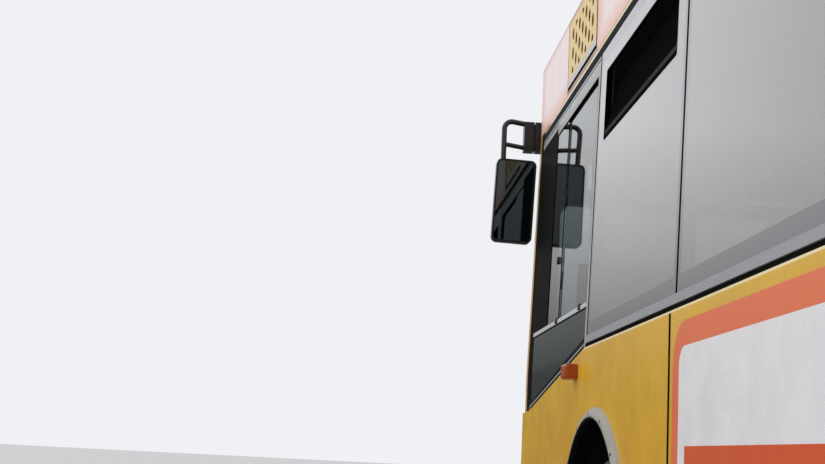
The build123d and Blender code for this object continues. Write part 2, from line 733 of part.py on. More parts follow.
def gas_tanks():
    neck = TANK_R * 0.35
    dome = TANK_R * 0.6
    half = TANK_LENGTH / 2
    bulge = (TANK_R * 0.86, dome * 0.42)
    profile = make_face(Wire([edge.edge() for edge in (
        Line((0, -half), (neck, -half)),
        ThreePointArc((neck, -half), (bulge[0], bulge[1] - half), (TANK_R, dome - half)),
        Line((TANK_R, dome - half), (TANK_R, half - dome)),
        ThreePointArc((TANK_R, half - dome), (bulge[0], half - bulge[1]), (neck, half)),
        Line((neck, half), (0, half)),
        Line((0, half), (0, -half)))]))
    tank = revolve(profile, Axis.Y)
    tanks = Part()
    cradles = Part()
    for row_y in TANK_ROWS:
        for column in range(4):
            tanks += Pos((column - 1.5) * TANK_PITCH, row_y, ROOF_Z + TANK_LIFT + TANK_R) * tank
        for y in (row_y - CRADLE_REACH, row_y + CRADLE_REACH):
            reach = 1.5 * TANK_PITCH + 120
            cradles += box(-reach, reach, y - CRADLE_HALF, y + CRADLE_HALF, ROOF_Z, ROOF_Z + CRADLE_HEIGHT)
    keep("gas_tanks", tanks)
    keep("tank_cradles", cradles - tanks)


def floor():
    plate = box(-HALF_WIDTH + WALL, HALF_WIDTH - WALL, FLOOR_FRONT_Y, BULKHEAD_Y, FRAME_TOP_Z, FLOOR_Z)
    for door in DOORWAYS:
        plate += box(-HALF_WIDTH, -HALF_WIDTH + WALL, door["y"], door["y"] + DOOR_WIDTH, SKIRT_Z, FLOOR_Z)
    for axle_y, inner in ((FRONT_AXLE_Y, FRONT_HOUSE_X), (REAR_AXLE_Y, REAR_HOUSE_X)):
        y0 = axle_y - HOUSE_REACH
        y1 = axle_y + HOUSE_REACH
        plate -= both_sides(box(inner - HOUSE_SHEET, FAR, y0, y1, 0, FLOOR_Z))
    keep("floor", plate)


def house_outline(axle_y, reach):
    """Side view of a wheel housing round the arch, its top corners cut at 45 degrees."""
    flat = reach * tan(radians(22.5))
    return [(axle_y - reach, FRAME_TOP_Z), (axle_y - reach, ARCH_Z + flat), (axle_y - flat, ARCH_Z + reach),
            (axle_y + flat, ARCH_Z + reach), (axle_y + reach, ARCH_Z + flat), (axle_y + reach, FRAME_TOP_Z)]


def wheelhouses():
    houses = Part()
    side = HALF_WIDTH - WALL
    for axle_y, inner in ((FRONT_AXLE_Y, FRONT_HOUSE_X), (REAR_AXLE_Y, REAR_HOUSE_X)):
        house = across(house_outline(axle_y, HOUSE_REACH), inner - HOUSE_SHEET, side)
        house -= across(house_outline(axle_y, HOUSE_REACH - HOUSE_SHEET), inner, side + WALL)
        houses += both_sides(house)
    keep("wheelhouses", houses)


def engine_bay():
    side = HALF_WIDTH - WALL
    bulkhead = box(-side, side, BULKHEAD_Y, BULKHEAD_Y + BULKHEAD, FRAME_TOP_Z, PODIUM_Z)
    front = BULKHEAD_Y + BULKHEAD + RUN_GAP
    podium = box(-side, side, front, PODIUM_REAR_Y, PODIUM_Z - BULKHEAD, PODIUM_Z)
    keep("engine_podium", bulkhead, podium)
    keep("engine", box(-ENGINE_HALF, ENGINE_HALF, *ENGINE_Y, FRAME_TOP_Z, ENGINE_TOP_Z))


def underframe():
    """Two long rails and the cross members that end against them."""
    inner = RAIL_X - RAIL_WIDTH / 2
    outer = RAIL_X + RAIL_WIDTH / 2
    rail = box(inner, outer, -FAR, REAR_Y - WALL, FRAME_TOP_Z - RAIL_DEPTH, FRAME_TOP_Z)
    rail -= box(-FAR, FAR, -FAR, LOW_CORNER_Y, 0, FLOOR_Z) - Pos(0, 0, -200) * low_front_block(WALL)
    solids = [rail, mirror(rail, about=Plane.YZ)]
    front_house = HOUSE_REACH + 60
    full = [-5600, -5000, FRONT_AXLE_Y - front_house, FRONT_AXLE_Y + front_house, -1600, -600, 400, 1300,
            REAR_AXLE_Y - front_house, REAR_AXLE_Y + front_house, 4200, BULKHEAD_Y - 40, 5730]
    short = [FRONT_AXLE_Y - 160, FRONT_AXLE_Y + 160, REAR_AXLE_Y - 160, REAR_AXLE_Y + 160, 5300, 5880]
    low = FRAME_TOP_Z - MEMBER_DEPTH
    for y in full + short:
        y0 = y - MEMBER_HALF
        y1 = y + MEMBER_HALF
        solids.append(box(-inner + RUN_GAP, inner - RUN_GAP, y0, y1, low, FRAME_TOP_Z))
        if y in full:
            wing = box(outer + RUN_GAP, HALF_WIDTH - WALL, y0, y1, low, FRAME_TOP_Z)
            solids += [wing, mirror(wing, about=Plane.YZ)]
    keep("underframe", *solids)


def front_axle():
    """A dropped beam with an eye for the kingpin at each end."""
    eye_top = TYRE_R + EYE_HALF
    outline = [(0, 140), (760, 140), (860, 300), (860, eye_top), (800, eye_top), (800, 330), (700, 225),
               (0, 225)]
    y0 = FRONT_AXLE_Y - BEAM_HALF
    y1 = FRONT_AXLE_Y + BEAM_HALF
    half = along(outline, y0, y1)
    half += rod_z(KINGPIN_X, FRONT_AXLE_Y, TYRE_R - EYE_HALF, eye_top, EYE_R)
    half += box(850, KINGPIN_X, y0 + 5, y1 - 5, TYRE_R - EYE_HALF + 5, eye_top - 5)
    half += box(RAIL_X - PAD_HALF, RAIL_X + PAD_HALF, y0, y1, PAD_FOOT_Z, FRAME_TOP_Z - RAIL_DEPTH)
    keep("front_axle", both_sides(half))


def knuckle(sign, node):
    """Fork round the kingpin eye, with the stub that carries the hub."""
    y0 = FRONT_AXLE_Y - EYE_R
    y1 = FRONT_AXLE_Y + EYE_R
    reach = EYE_HALF + EAR
    ears = Part()
    for z0 in (TYRE_R + EYE_HALF + RUN_GAP, TYRE_R - reach):
        z1 = z0 + EAR - RUN_GAP
        ears += rod_z(KINGPIN_X, FRONT_AXLE_Y, z0, z1, EYE_R)
        ears += box(KINGPIN_X, KINGPIN_X + FORK_X, y0, y1, z0, z1)
    ears += box(KINGPIN_X + FORK_X - FORK, KINGPIN_X + FORK_X, y0, y1, TYRE_R - reach, TYRE_R + reach)
    ears += rod_x(KINGPIN_X + STUB_X, KINGPIN_X + HUB_REACH, FRONT_AXLE_Y, TYRE_R, STUB_R)
    keep(node, ears if sign > 0 else mirror(ears, about=Plane.YZ))


def tyre_solid(x0):
    """One tyre between two planes across X: bead, bulged sidewall, shoulder and flat tread."""
    half = TYRE_WIDTH / 2
    bead = half - TYRE_BEAD
    mid_r = (TYRE_R + TYRE_BORE_R) / 2
    points = [(bead, TYRE_BORE_R), (half, mid_r), (half - 14, TYRE_R - 30), (half - 36, TYRE_R)]
    outline = points + [(-x, r) for x, r in reversed(points)]
    profile = make_face(Polyline(*outline, outline[0]))
    return Pos(x0 + half, 0, 0) * revolve(profile, Axis.X)


def rim_solid(x_disc, x0, dish):
    """A pressed wheel: the barrel under the tyre and a coned disc with hand holes."""
    bead = TYRE_WIDTH / 2 - TYRE_BEAD
    middle = x0 + TYRE_WIDTH / 2
    outer = TYRE_BORE_R
    inner = TYRE_BORE_R - RIM_WALL
    barrel = [(middle - bead, inner), (middle + bead, inner), (middle + bead, outer), (middle - bead, outer)]
    face = x_disc + DISC_WALL
    disc = [(x_disc, 0), (face, 0), (face, DISC_FLAT_R), (face + dish, inner + 5),
            (x_disc + dish, inner + 5), (x_disc, DISC_FLAT_R)]
    wheel = revolve(make_face(Polyline(*barrel, barrel[0])), Axis.X)
    wheel += revolve(make_face(Polyline(*disc, disc[0])), Axis.X)
    for step in range(HAND_HOLES):
        angle = radians((step + 0.5) * 360 / HAND_HOLES)
        y = HAND_HOLE_RING * cos(angle)
        z = HAND_HOLE_RING * sin(angle)
        wheel -= rod_x(x_disc - 60, x_disc + 60, y, z, HAND_HOLE_R)
    return wheel


def hub_solid(x0, x1, radius, cap):
    """A hub barrel with a coned cap."""
    outline = [
        (x0, 0), (x1, 0), (x1, radius * 0.55), (x1 - cap, radius * 0.7), (x1 - cap, radius), (x0, radius)]
    return revolve(make_face(Polyline(*outline, outline[0])), Axis.X)


def wheels():
    outer0 = HALF_WIDTH - TYRE_INSET - TYRE_WIDTH
    inner0 = outer0 - TWIN_GAP - TYRE_WIDTH
    hub_face = KINGPIN_X + HUB_REACH + RUN_GAP
    twin_seat = outer0 - TWIN_GAP / 2
    front = rim_solid(hub_face + 50, outer0, FRONT_DISH) + hub_solid(hub_face, hub_face + 105, HUB_R,
                                                                     HUB_CAP)
    outer_rim = rim_solid(twin_seat, outer0, TWIN_DISH)
    inner_rim = mirror(Pos(-2 * twin_seat, 0, 0) * outer_rim, about=Plane.YZ)
    twin = outer_rim + inner_rim + hub_solid(HUB_SEAT_X + RUN_GAP, twin_seat + 150, HUB_R, HUB_CAP)
    for sign, side in ((1, "left"), (-1, "right")):
        for name, axle_y, tyre, rim in (
                ("front", FRONT_AXLE_Y, tyre_solid(outer0), front),
                ("rear", REAR_AXLE_Y, tyre_solid(outer0) + tyre_solid(inner0), twin)):
            for kind, shape in (("tyre", tyre), ("rim", rim)):
                solid = Pos(0, axle_y, TYRE_R) * shape
                keep(f"{kind}_{name}_{side}", solid if sign > 0 else mirror(solid, about=Plane.YZ))


def rear_axle():
    """A low portal beam with a tall hub carrier at each end and the final drive in the middle."""
    head = TYRE_R + 90
    outline = [(0, 130), (HUB_SEAT_X, 130), (HUB_SEAT_X, head), (535, head), (535, 300), (522, 225),
               (0, 225)]
    half = along(outline, REAR_AXLE_Y - 70, REAR_AXLE_Y + 70)
    pad_y = (REAR_AXLE_Y - 60, REAR_AXLE_Y + 60)
    half += box(RAIL_X - PAD_HALF, RAIL_X + PAD_HALF, *pad_y, PAD_FOOT_Z, FRAME_TOP_Z - RAIL_DEPTH)
    keep("rear_axle", both_sides(half) + rod_y(0, REAR_AXLE_Y - 150, REAR_AXLE_Y + 150, 190, 75))


def door_leaf(door, which):
    """One leaf, its glass and the turning column that it hangs on."""
    y0 = door["y"] + DOOR_GAP
    y1 = door["y"] + DOOR_WIDTH / 2 - LEAF_MEET / 2
    leaf = (OUTER - LEAF_LINE) & box(-FAR, 0, y0, y1, FLOOR_Z + DOOR_GAP, DOOR_TOP_Z)
    zone = slab_x(-FAR, 0, y0 + LEAF_EDGE, y1 - LEAF_EDGE, FLOOR_Z + 120, DOOR_TOP_Z - 90, LEAF_CORNER_R)
    glass = (body_block(10) - body_block(10 + GLASS)) & zone
    leaf -= zone
    x = -HALF_WIDTH + POST_IN
    leaf += rod_z(x, y0 + POST_SET, FLOOR_Z + RUN_GAP, DOOR_TOP_Z + DOOR_GAP - RUN_GAP, POST_R)
    post_y = y0 + POST_SET
    for z in ARM_Z:
        leaf += box(-HALF_WIDTH + LEAF, x, post_y - ARM_HALF, post_y + ARM_HALF, z, z + ARM_HEIGHT)
    if which == "rear":
        middle = Plane.XZ.offset(-(door["y"] + DOOR_WIDTH / 2))
        leaf = mirror(leaf, about=middle)
        glass = mirror(glass, about=middle)
    return leaf, glass


def doors():
    headers = Part()
    for door in DOORWAYS:
        y0 = door["y"]
        y1 = y0 + DOOR_WIDTH
        headers += SHELL & box(-FAR, 0, y0, y1, DOOR_TOP_Z + DOOR_GAP, CANT_Z)
        cover_x = (-side_x(DOOR_TOP_Z) + WALL - 4, COVER_X)
        headers += box(*cover_x, y0, y1, DOOR_TOP_Z + DOOR_GAP, DOOR_TOP_Z + COVER_HEIGHT)
        for which in ("front", "rear"):
            leaf, glass = door_leaf(door, which)
            keep(f"door_{door['name']}_{which}", leaf, glass)
    keep("door_headers", headers)


def arch_trims():
    """Rounded rubber lips round the four wheel arches."""
    outer = ARCH_R + TRIM_BAND
    profile = make_face(Wire([edge.edge() for edge in (
        Line((ARCH_R, 0), (outer, 0)),
        ThreePointArc((outer, 0), (ARCH_R + 0.62 * TRIM_BAND, 0.78 * TRIM_PROUD), (ARCH_R + 8, TRIM_PROUD)),
        ThreePointArc((ARCH_R + 8, TRIM_PROUD), (ARCH_R + 2, TRIM_PROUD - 3), (ARCH_R, TRIM_PROUD - 9)),
        Line((ARCH_R, TRIM_PROUD - 9), (ARCH_R, 0)))]))
    ring = Rot(0, 90, 0) * revolve(Plane.XZ * profile, Axis.Z)
    trims = Part()
    for axle_y in (FRONT_AXLE_Y, REAR_AXLE_Y):
        trim = Pos(HALF_WIDTH, axle_y, ARCH_Z) * ring
        trims += both_sides(trim - box(0, FAR, -FAR, FAR, -FAR, SKIRT_Z))
    keep("arch_trims", trims)


def mirrors():
    """Rounded heads with the glass set in their rear face, on bent tubes and a hinged clamp."""
    x0 = MIRROR_X - MIRROR_WIDTH / 2
    x1 = MIRROR_X + MIRROR_WIDTH / 2
    y0 = MIRROR_Y - MIRROR_DEPTH / 2
    y1 = MIRROR_Y + MIRROR_DEPTH / 2
    z0 = MIRROR_Z - MIRROR_HEIGHT / 2
    z1 = MIRROR_Z + MIRROR_HEIGHT / 2
    head = slab_y(x0, x1, y0, y1, z0, z1, 34)
    head = fillet(head.faces().sort_by(Axis.Y)[0].edges(), 30)
    rim = 11
    head -= slab_y(x0 + rim, x1 - rim, y1 - MIRROR_POCKET, y1 + 1, z0 + rim, z1 - rim, 24)
    seat = rim + RUN_GAP
    floor_y = y1 - MIRROR_POCKET + RUN_GAP
    glass = slab_y(x0 + seat, x1 - seat, floor_y, floor_y + 5, z0 + seat, z1 - seat, 24 - RUN_GAP)
    lean = Pos(MIRROR_X, 0, MIRROR_Z) * Rot(0, -MIRROR_LEAN, 0) * Pos(-MIRROR_X, 0, -MIRROR_Z)
    start = (CLAMP_X[1][0] + 10, MIRROR_Y, TUBE_TOP_Z)
    corner = (TUBE_X, MIRROR_Y, TUBE_TOP_Z + TUBE_RISE)
    path = FilletPolyline(start, corner, (TUBE_X, MIRROR_Y, z1 - 20), radius=TUBE_BEND_R)
    arm = sweep(Plane(origin=start, z_dir=path % 0) * Circle(TUBE_R), path)
    low_end = (start[0], MIRROR_Y, CLAMP_LOW_Z + STAY_R + 6)
    stay = Line(low_end, (TUBE_X, MIRROR_Y, low_end[2] + TUBE_RISE))
    arm += sweep(Plane(origin=low_end, z_dir=stay % 0) * Circle(STAY_R), stay)
    for near, far in CLAMP_X:
        arm += box(near, far, MIRROR_Y - 34, MIRROR_Y + 34, CLAMP_LOW_Z, CLAMP_TOP_Z)
    pin_x = (CLAMP_X[0][1] + CLAMP_X[1][0]) / 2
    arm += rod_z(pin_x, MIRROR_Y, CLAMP_LOW_Z + 10, CLAMP_TOP_Z - 10, 9)
    arm -= OUTER
    arm -= fairing_block(-RUN_GAP, CANT_Z, FAIRING_TOP_Z)
    keep("mirrors", both_sides(lean * head + arm), both_sides(lean * glass))


def repeaters():
    """Amber side lamps with rounded edges."""
    lamp = slab_x(HALF_WIDTH, HALF_WIDTH + REPEATER_PROUD, *REPEATER_Y, *REPEATER_Z, REPEATER_CORNER_R)
    lamp = fillet(lamp.faces().sort_by(Axis.X)[-1].edges(), REPEATER_EDGE_R)
    keep("side_repeaters", both_sides(lamp))


def seat_shell(x, y, z, width):
    """One shell seat facing the front, its pan and back in one curve with rounded corners."""
    outline = make_face(Wire([edge.edge() for edge in (
        ThreePointArc((y, z + 428), (y + 190, z + 412), (y + 375, z + 418)),
        ThreePointArc((y + 375, z + 418), (y + 425, z + 440), (y + 448, z + 495)),
        Line((y + 448, z + 495), (y + 505, z + 1010)),
        Line((y + 505, z + 1010), (y + 535, z + 1010)),
        Line((y + 535, z + 1010), (y + 480, z + 490)),
        ThreePointArc((y + 480, z + 490), (y + 448, z + 405), (y + 380, z + 384)),
        Line((y + 380, z + 384), (y, z + 394)),
        Line((y, z + 394), (y, z + 428)))]))
    shell = extrude(Plane.YZ.offset(x - width / 2) * outline, width)
    reach = 1010
    return shell & slab_y(x - width / 2, x + width / 2, y - 1, y + 600, z - reach, z + reach, SEAT_CORNER_R)


def seats():
    shells = Part()
    stands = Part()
    single = (SEAT_WIDTH - SEAT_GAP) / 2
    for row in SEAT_ROWS:
        for step in range(row["count"]):
            y = row["first"] + step * SEAT_PITCH
            pair = Part()
            for side in (-1, 1):
                pair += seat_shell(row["x"] + side * (single + SEAT_GAP) / 2, y, row["z"], single)
            base = PODIUM_Z if row["z"] > FLOOR_Z else row["z"]
            stand = box(row["x"] - 300, row["x"] + 300, y + 150, y + 210, base, row["z"] + 400)
            shells += pair
            stands += stand - pair
    keep("seats", shells, stands)


def cab():
    """Partition behind the driver, plinth, seat, dashboard and steering wheel."""
    side = HALF_WIDTH - WALL
    y1 = PARTITION_Y + PARTITION
    partition = box(PARTITION_X, side, PARTITION_Y, y1, FLOOR_Z, 1900)
    plinth = box(PARTITION_X + 20, side, PARTITION_Y - 910, PARTITION_Y - RUN_GAP, FLOOR_Z, PLINTH_Z)
    keep("cab_partition", partition, plinth)
    seat_y = PARTITION_Y - 100
    cushion = [(seat_y - 560, 900), (seat_y - 540, 975), (seat_y - 100, 955), (seat_y - 100, 870),
               (seat_y - 500, 870)]
    back = [(seat_y - 100, 870), (seat_y - 130, 960), (seat_y - 60, 1580), (seat_y - 30, 1600),
            (seat_y, 1580),
            (seat_y - 40, 870)]
    seat = across(cushion, DRIVER_X - 230, DRIVER_X + 230) + across(back, DRIVER_X - 230, DRIVER_X + 230)
    seat += box(DRIVER_X - 130, DRIVER_X + 130, seat_y - 420, seat_y - 120, PLINTH_Z, 870)
    keep("driver_seat", seat)
    desk_outline = [(-5650, 870), (-5650, 1150), (-5560, 1190), (-5400, 1190), (-5260, 1120), (-5250, 1030),
                    (-5262, 870)]
    desk = across(desk_outline, 150, 1060)
    desk += across([(-5620, FLOOR_Z), (-5620, 900), (-5400, 900), (-5440, FLOOR_Z)], 300, 960)
    keep("dashboard", desk)
    rim = revolve(Plane.XZ * Pos(225, 0) * RegularPolygon(16, 8), Axis.Z)
    wheel = rim + Pos(0, 0, -10) * Cylinder(60, 30)
    for angle in (90, 210, 330):
        wheel += Rot(0, 0, angle) * Pos(112, 0, 0) * Box(225, 30, 14)
    column = Pos(0, 0, -230) * Cylinder(35, 440)
    wheel = Pos(DRIVER_X, -5020, 1260) * Rot(-35, 0, 0) * (wheel + column)
    keep("steering_wheel", wheel - desk)


def handrails():
    ceiling = ROOF_Z - ROOF_SHEET
    rails = Part()
    for sign in (-1, 1):
        side = rod_y(sign * HANDRAIL_X, -4000, 4300, HANDRAIL_Z, HANDRAIL_R - 1)
        for y in (-3990, -2660, -1040, 240, 1860, 3420, 4290):
            side += rod_z(sign * HANDRAIL_X, y, FLOOR_Z, ceiling, HANDRAIL_R)
        rails += side
    keep("handrails", rails)


side_left()
side_right()
side_glass()
waist_rails()
cab_window()
front_end()
wipers()
rear_end()
roof()
fairing()
gas_tanks()
floor()
wheelhouses()
engine_bay()
underframe()
front_axle()
knuckle(1, "knuckle_left")
knuckle(-1, "knuckle_right")
wheels()
rear_axle()
doors()
arch_trims()
mirrors()
repeaters()
seats()
cab()
handrails()
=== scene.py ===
"""Twelve-metre city bus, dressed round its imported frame: enamel, glass, rubber, lamps and cabin."""
import math

import bmesh
import bpy
from mathutils import Matrix, Vector


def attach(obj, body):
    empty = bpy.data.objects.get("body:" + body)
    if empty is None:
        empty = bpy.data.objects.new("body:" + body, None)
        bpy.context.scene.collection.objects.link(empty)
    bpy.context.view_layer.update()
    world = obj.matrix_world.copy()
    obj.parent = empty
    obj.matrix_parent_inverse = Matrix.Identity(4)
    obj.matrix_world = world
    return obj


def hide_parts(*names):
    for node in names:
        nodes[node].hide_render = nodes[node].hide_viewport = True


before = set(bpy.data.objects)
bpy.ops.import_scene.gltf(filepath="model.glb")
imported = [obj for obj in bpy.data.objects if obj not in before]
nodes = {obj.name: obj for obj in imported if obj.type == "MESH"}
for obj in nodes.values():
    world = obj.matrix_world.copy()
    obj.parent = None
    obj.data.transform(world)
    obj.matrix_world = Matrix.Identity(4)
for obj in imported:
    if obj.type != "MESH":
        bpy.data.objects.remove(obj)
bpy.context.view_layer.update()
scene = bpy.context.scene
scene.view_settings.view_transform = "Standard"


# Camera: beside the bus and low, looking forward and up along the driver's side.
# Its place, turn and lens come from the lines of the waist, the panes and the wheel arch.
yaw, pitch, roll = 0.046181, 0.165259, 0.050344
camera_place = (2.3223, 2.3000, 0.9323)
ahead = Vector((-math.sin(yaw) * math.cos(pitch), -math.cos(yaw) * math.cos(pitch), math.sin(pitch)))
level = Vector((-math.cos(yaw), math.sin(yaw), 0))
above = level.cross(ahead)
rightward = level * math.cos(roll) + above * math.sin(roll)
upward = above * math.cos(roll) - level * math.sin(roll)
lens = bpy.data.cameras.new("kerb_camera")
lens.sensor_width = 36
lens.lens = 58.582
lens.clip_end = 500
camera = bpy.data.objects.new("kerb_camera", lens)
turn = Matrix((rightward, upward, -ahead)).transposed().to_4x4()
camera.matrix_world = Matrix.Translation(camera_place) @ turn
scene.collection.objects.link(camera)
scene.camera = camera


def hex_colour(code):
    """An sRGB hex code as a linear colour with alpha."""
    channels = [int(code[i:i + 2], 16) / 255 for i in (1, 3, 5)]
    return tuple(c / 12.92 if c <= 0.04045 else ((c + 0.055) / 1.055) ** 2.4 for c in channels) + (1,)


def feed(tree, node, inputs):
    """Links sockets and sets plain values on a node's inputs. A node stands for its first output."""
    for key, value in inputs.items():
        if isinstance(value, bpy.types.Node):
            value = value.outputs[0]
        if isinstance(value, bpy.types.NodeSocket):
            tree.links.new(value, node.inputs[key])
        else:
            node.inputs[key].default_value = value


def add(tree, kind, inputs=None, **settings):
    """Adds a node, gives it its settings, and feeds its inputs."""
    made = tree.nodes.new(kind)
    for name, value in settings.items():
        setattr(made, name, value)
    feed(tree, made, inputs or {})
    return made


def new_finish(name):
    """An empty material with one shader wired to its output, and the object coordinates for its patterns."""
    material = bpy.data.materials.new(name)
    material.use_nodes = True
    tree = material.node_tree
    tree.nodes.clear()
    shader = add(tree, "ShaderNodeBsdfPrincipled")
    add(tree, "ShaderNodeOutputMaterial", {"Surface": shader.outputs["BSDF"]})
    return material, tree, shader, add(tree, "ShaderNodeTexCoord").outputs["Object"]


def coats(tree, base, layers):
    """Colours laid over one another, each where its mask is one. A colour is a hex code or a socket."""
    for mask, colour in layers:
        under, over = [hex_colour(code) if isinstance(code, str) else code for code in (base, colour)]
        base = add(tree, "ShaderNodeMix", {0: mask, 6: under, 7: over}, data_type="RGBA").outputs[2]
    return base


# Studio: an even overcast dome, one broad soft lamp from the driver's side, and a pale floor.
# As a lamp the dome is a little weaker than it looks, so pale paint keeps its own colour.
# In reflections it darkens towards the horizon and the floor turns dark, as in a built-up street.
scene.world = bpy.data.worlds.new("overcast_dome")
scene.world.use_nodes = True
tree = scene.world.node_tree
tree.nodes.clear()
rays = add(tree, "ShaderNodeLightPath")
seen = add(tree, "ShaderNodeMath", {
    0: rays.outputs["Is Camera Ray"], 1: rays.outputs["Is Transmission Ray"]}, operation="MAXIMUM")
direct = add(tree, "ShaderNodeMapRange", {0: seen, 3: 0.85, 4: 1.0})
way = add(tree, "ShaderNodeNewGeometry")
climb = add(tree, "ShaderNodeSeparateXYZ", {0: way.outputs["Incoming"]})
mirrored = add(tree, "ShaderNodeMapRange", {0: climb.outputs[2], 1: -0.06, 2: -0.26, 3: 0.12, 4: 1.0})
power = add(tree, "ShaderNodeMix", {
    0: rays.outputs["Is Glossy Ray"], 2: direct, 3: mirrored}, data_type="FLOAT")
sky = add(tree, "ShaderNodeBackground", {"Color": hex_colour("#F0F1F5"), "Strength": power})
add(tree, "ShaderNodeOutputWorld", {"Surface": sky})

key_lamp = bpy.data.lights.new("soft_key", "SUN")
key_lamp.energy = 1.0
key_lamp.angle = math.radians(60)
key = bpy.data.objects.new("soft_key", key_lamp)
key.rotation_euler = (math.radians(20), math.radians(48), 0)
scene.collection.objects.link(key)

FLOOR_REACH = 150
corners = [(x * FLOOR_REACH, y * FLOOR_REACH, 0) for x, y in ((-1, -1), (1, -1), (1, 1), (-1, 1))]
floor_mesh = bpy.data.meshes.new("studio_floor")
floor_mesh.from_pydata(corners, [], [(0, 1, 2, 3)])
studio_floor = bpy.data.objects.new("studio_floor", floor_mesh)
scene.collection.objects.link(studio_floor)
material, tree, shader, point = new_finish("pale_concrete_floor")
grit = add(tree, "ShaderNodeTexNoise", {"Vector": point, "Scale": 6, "Detail": 8})
rays = add(tree, "ShaderNodeLightPath")
shade = coats(tree, "#C9C9C7", [(grit, "#D6D6D4"), (rays.outputs["Is Glossy Ray"], "#454543")])
feed(tree, shader, {"Base Color": shade, "Roughness": 0.9})
studio_floor.data.materials.append(material)


# Side walls: steel sheet baked in yellow enamel, with a rebate for the bonded glass at window height.
# A white vinyl field with an orange border is stuck between the arches. Behind the glass the sheet
# is primed black, and its cabin face has light grey trim.
WAIST = 1.435
SIDE = 1.250
LEAN = math.tan(0.0272)
GLASS_HEAD = 2.801
CAB_REAR = -3.629
AXLES_Y = {"front": -3.390, "rear": 2.600}
ARCH_Z = 0.420
ARCH_CUT = 0.712
VINYL_Z = (0.42, 1.402)
VINYL_CORNER = 0.150
BORDER = 0.082
STRIPE_INSET = 0.165


def dress(name, material):
    """Gives a CAD node its material."""
    slots = nodes[name].data.materials
    slots.clear()
    slots.append(material)


def union(tree, masks, operation="MAXIMUM"):
    """One where any of the masks is one."""
    total = masks[0]
    for mask in masks[1:]:
        total = add(tree, "ShaderNodeMath", {0: total, 1: mask}, operation=operation)
    return total


def overlap(tree, *masks):
    """One where all of the masks are one."""
    return union(tree, masks, "MULTIPLY")


def within(tree, value, low, high):
    """One where a value lies between two limits, else zero."""
    over = add(tree, "ShaderNodeMath", {0: value, 1: low}, operation="GREATER_THAN")
    under = add(tree, "ShaderNodeMath", {0: value, 1: high}, operation="LESS_THAN")
    return overlap(tree, over, under)


def area(tree, first, second, limits):
    """One inside a rectangle of two coordinates, else zero."""
    return overlap(tree, within(tree, first, *limits[:2]), within(tree, second, *limits[2:]))


def depth_in_wall(tree, x, z):
    """How far a point lies inside the outer side face, which leans in above the waist."""
    rise = add(tree, "ShaderNodeMath", {0: z, 1: WAIST}, operation="SUBTRACT")
    rise = add(tree, "ShaderNodeMath", {0: rise, 1: 0.0}, operation="MAXIMUM")
    lean = add(tree, "ShaderNodeMath", {0: rise, 1: LEAN}, operation="MULTIPLY")
    out = add(tree, "ShaderNodeMath", {0: x}, operation="ABSOLUTE")
    reach = add(tree, "ShaderNodeMath", {0: out, 1: lean}, operation="ADD")
    return add(tree, "ShaderNodeMath", {0: SIDE, 1: reach}, operation="SUBTRACT")


def panel_distance(tree, first, second, limits, radius):
    """Distance to the edge of a panel with rounded corners, below zero inside it."""
    past = []
    for value, low, high in ((first, *limits[:2]), (second, *limits[2:])):
        off = add(tree, "ShaderNodeMath", {0: value, 1: (low + high) / 2}, operation="SUBTRACT")
        off = add(tree, "ShaderNodeMath", {0: off}, operation="ABSOLUTE")
        over = add(tree, "ShaderNodeMath", {0: off, 1: (high - low) / 2 - radius},
                   operation="SUBTRACT")
        past.append(over)
    beyond = [add(tree, "ShaderNodeMath", {0: side, 1: 0.0}, operation="MAXIMUM") for side in past]
    corner = add(tree, "ShaderNodeCombineXYZ", {0: beyond[0], 1: beyond[1]})
    reach = add(tree, "ShaderNodeVectorMath", {0: corner}, operation="LENGTH")
    inner = add(tree, "ShaderNodeMath", {0: past[0], 1: past[1]}, operation="MAXIMUM")
    inner = add(tree, "ShaderNodeMath", {0: inner, 1: 0.0}, operation="MINIMUM")
    total = add(tree, "ShaderNodeMath", {0: reach.outputs["Value"], 1: inner}, operation="ADD")
    return add(tree, "ShaderNodeMath", {0: total, 1: radius}, operation="SUBTRACT")


def arch_distance(tree, y, z):
    """Distance from the middle of the nearer wheel arch, seen from the side."""
    flat = add(tree, "ShaderNodeCombineXYZ", {1: y, 2: z})
    gaps = [add(tree, "ShaderNodeVectorMath", {0: flat, 1: (0, axle_y, ARCH_Z)},
                operation="DISTANCE").outputs["Value"] for axle_y in AXLES_Y.values()]
    return add(tree, "ShaderNodeMath", {0: gaps[0], 1: gaps[1]}, operation="MINIMUM")


def weathered_yellow(tree, point, z):
    """Weathered yellow enamel: cloudy tone, paler towards the waist, faint rain runs, and road dust towards
    the skirt.
    """
    cloud = add(tree, "ShaderNodeTexNoise", {"Vector": point, "Scale": 1.6, "Detail": 5})
    tone = add(tree, "ShaderNodeMapRange", {0: cloud, 1: 0.3, 2: 0.7})
    # Paler from 0.9 m up towards the waist.
    high = add(tree, "ShaderNodeMapRange", {0: z, 1: 0.9, 2: 1.44, 3: 0.0, 4: 0.55})
    runs = add(tree, "ShaderNodeMapping", {"Vector": point, "Scale": (14, 14, 0.8)})
    runs = add(tree, "ShaderNodeTexNoise", {"Vector": runs, "Scale": 2.5, "Detail": 6})
    runs = add(tree, "ShaderNodeMapRange", {0: runs, 1: 0.5, 2: 0.8, 3: 0.0, 4: 0.12})
    low = add(tree, "ShaderNodeMapRange", {0: z, 1: 0.85, 2: 0.28, 3: 0.0, 4: 0.8})
    grit = add(tree, "ShaderNodeTexNoise", {"Vector": point, "Scale": 18, "Detail": 6})
    dust = add(tree, "ShaderNodeMath", {0: low, 1: grit}, operation="MULTIPLY")
    return coats(tree, "#CE9812", [
        (tone, "#E0AE18"), (high, "#E6B935"), (runs, "#A67C22"),
        (dust, "#7C6C52")])


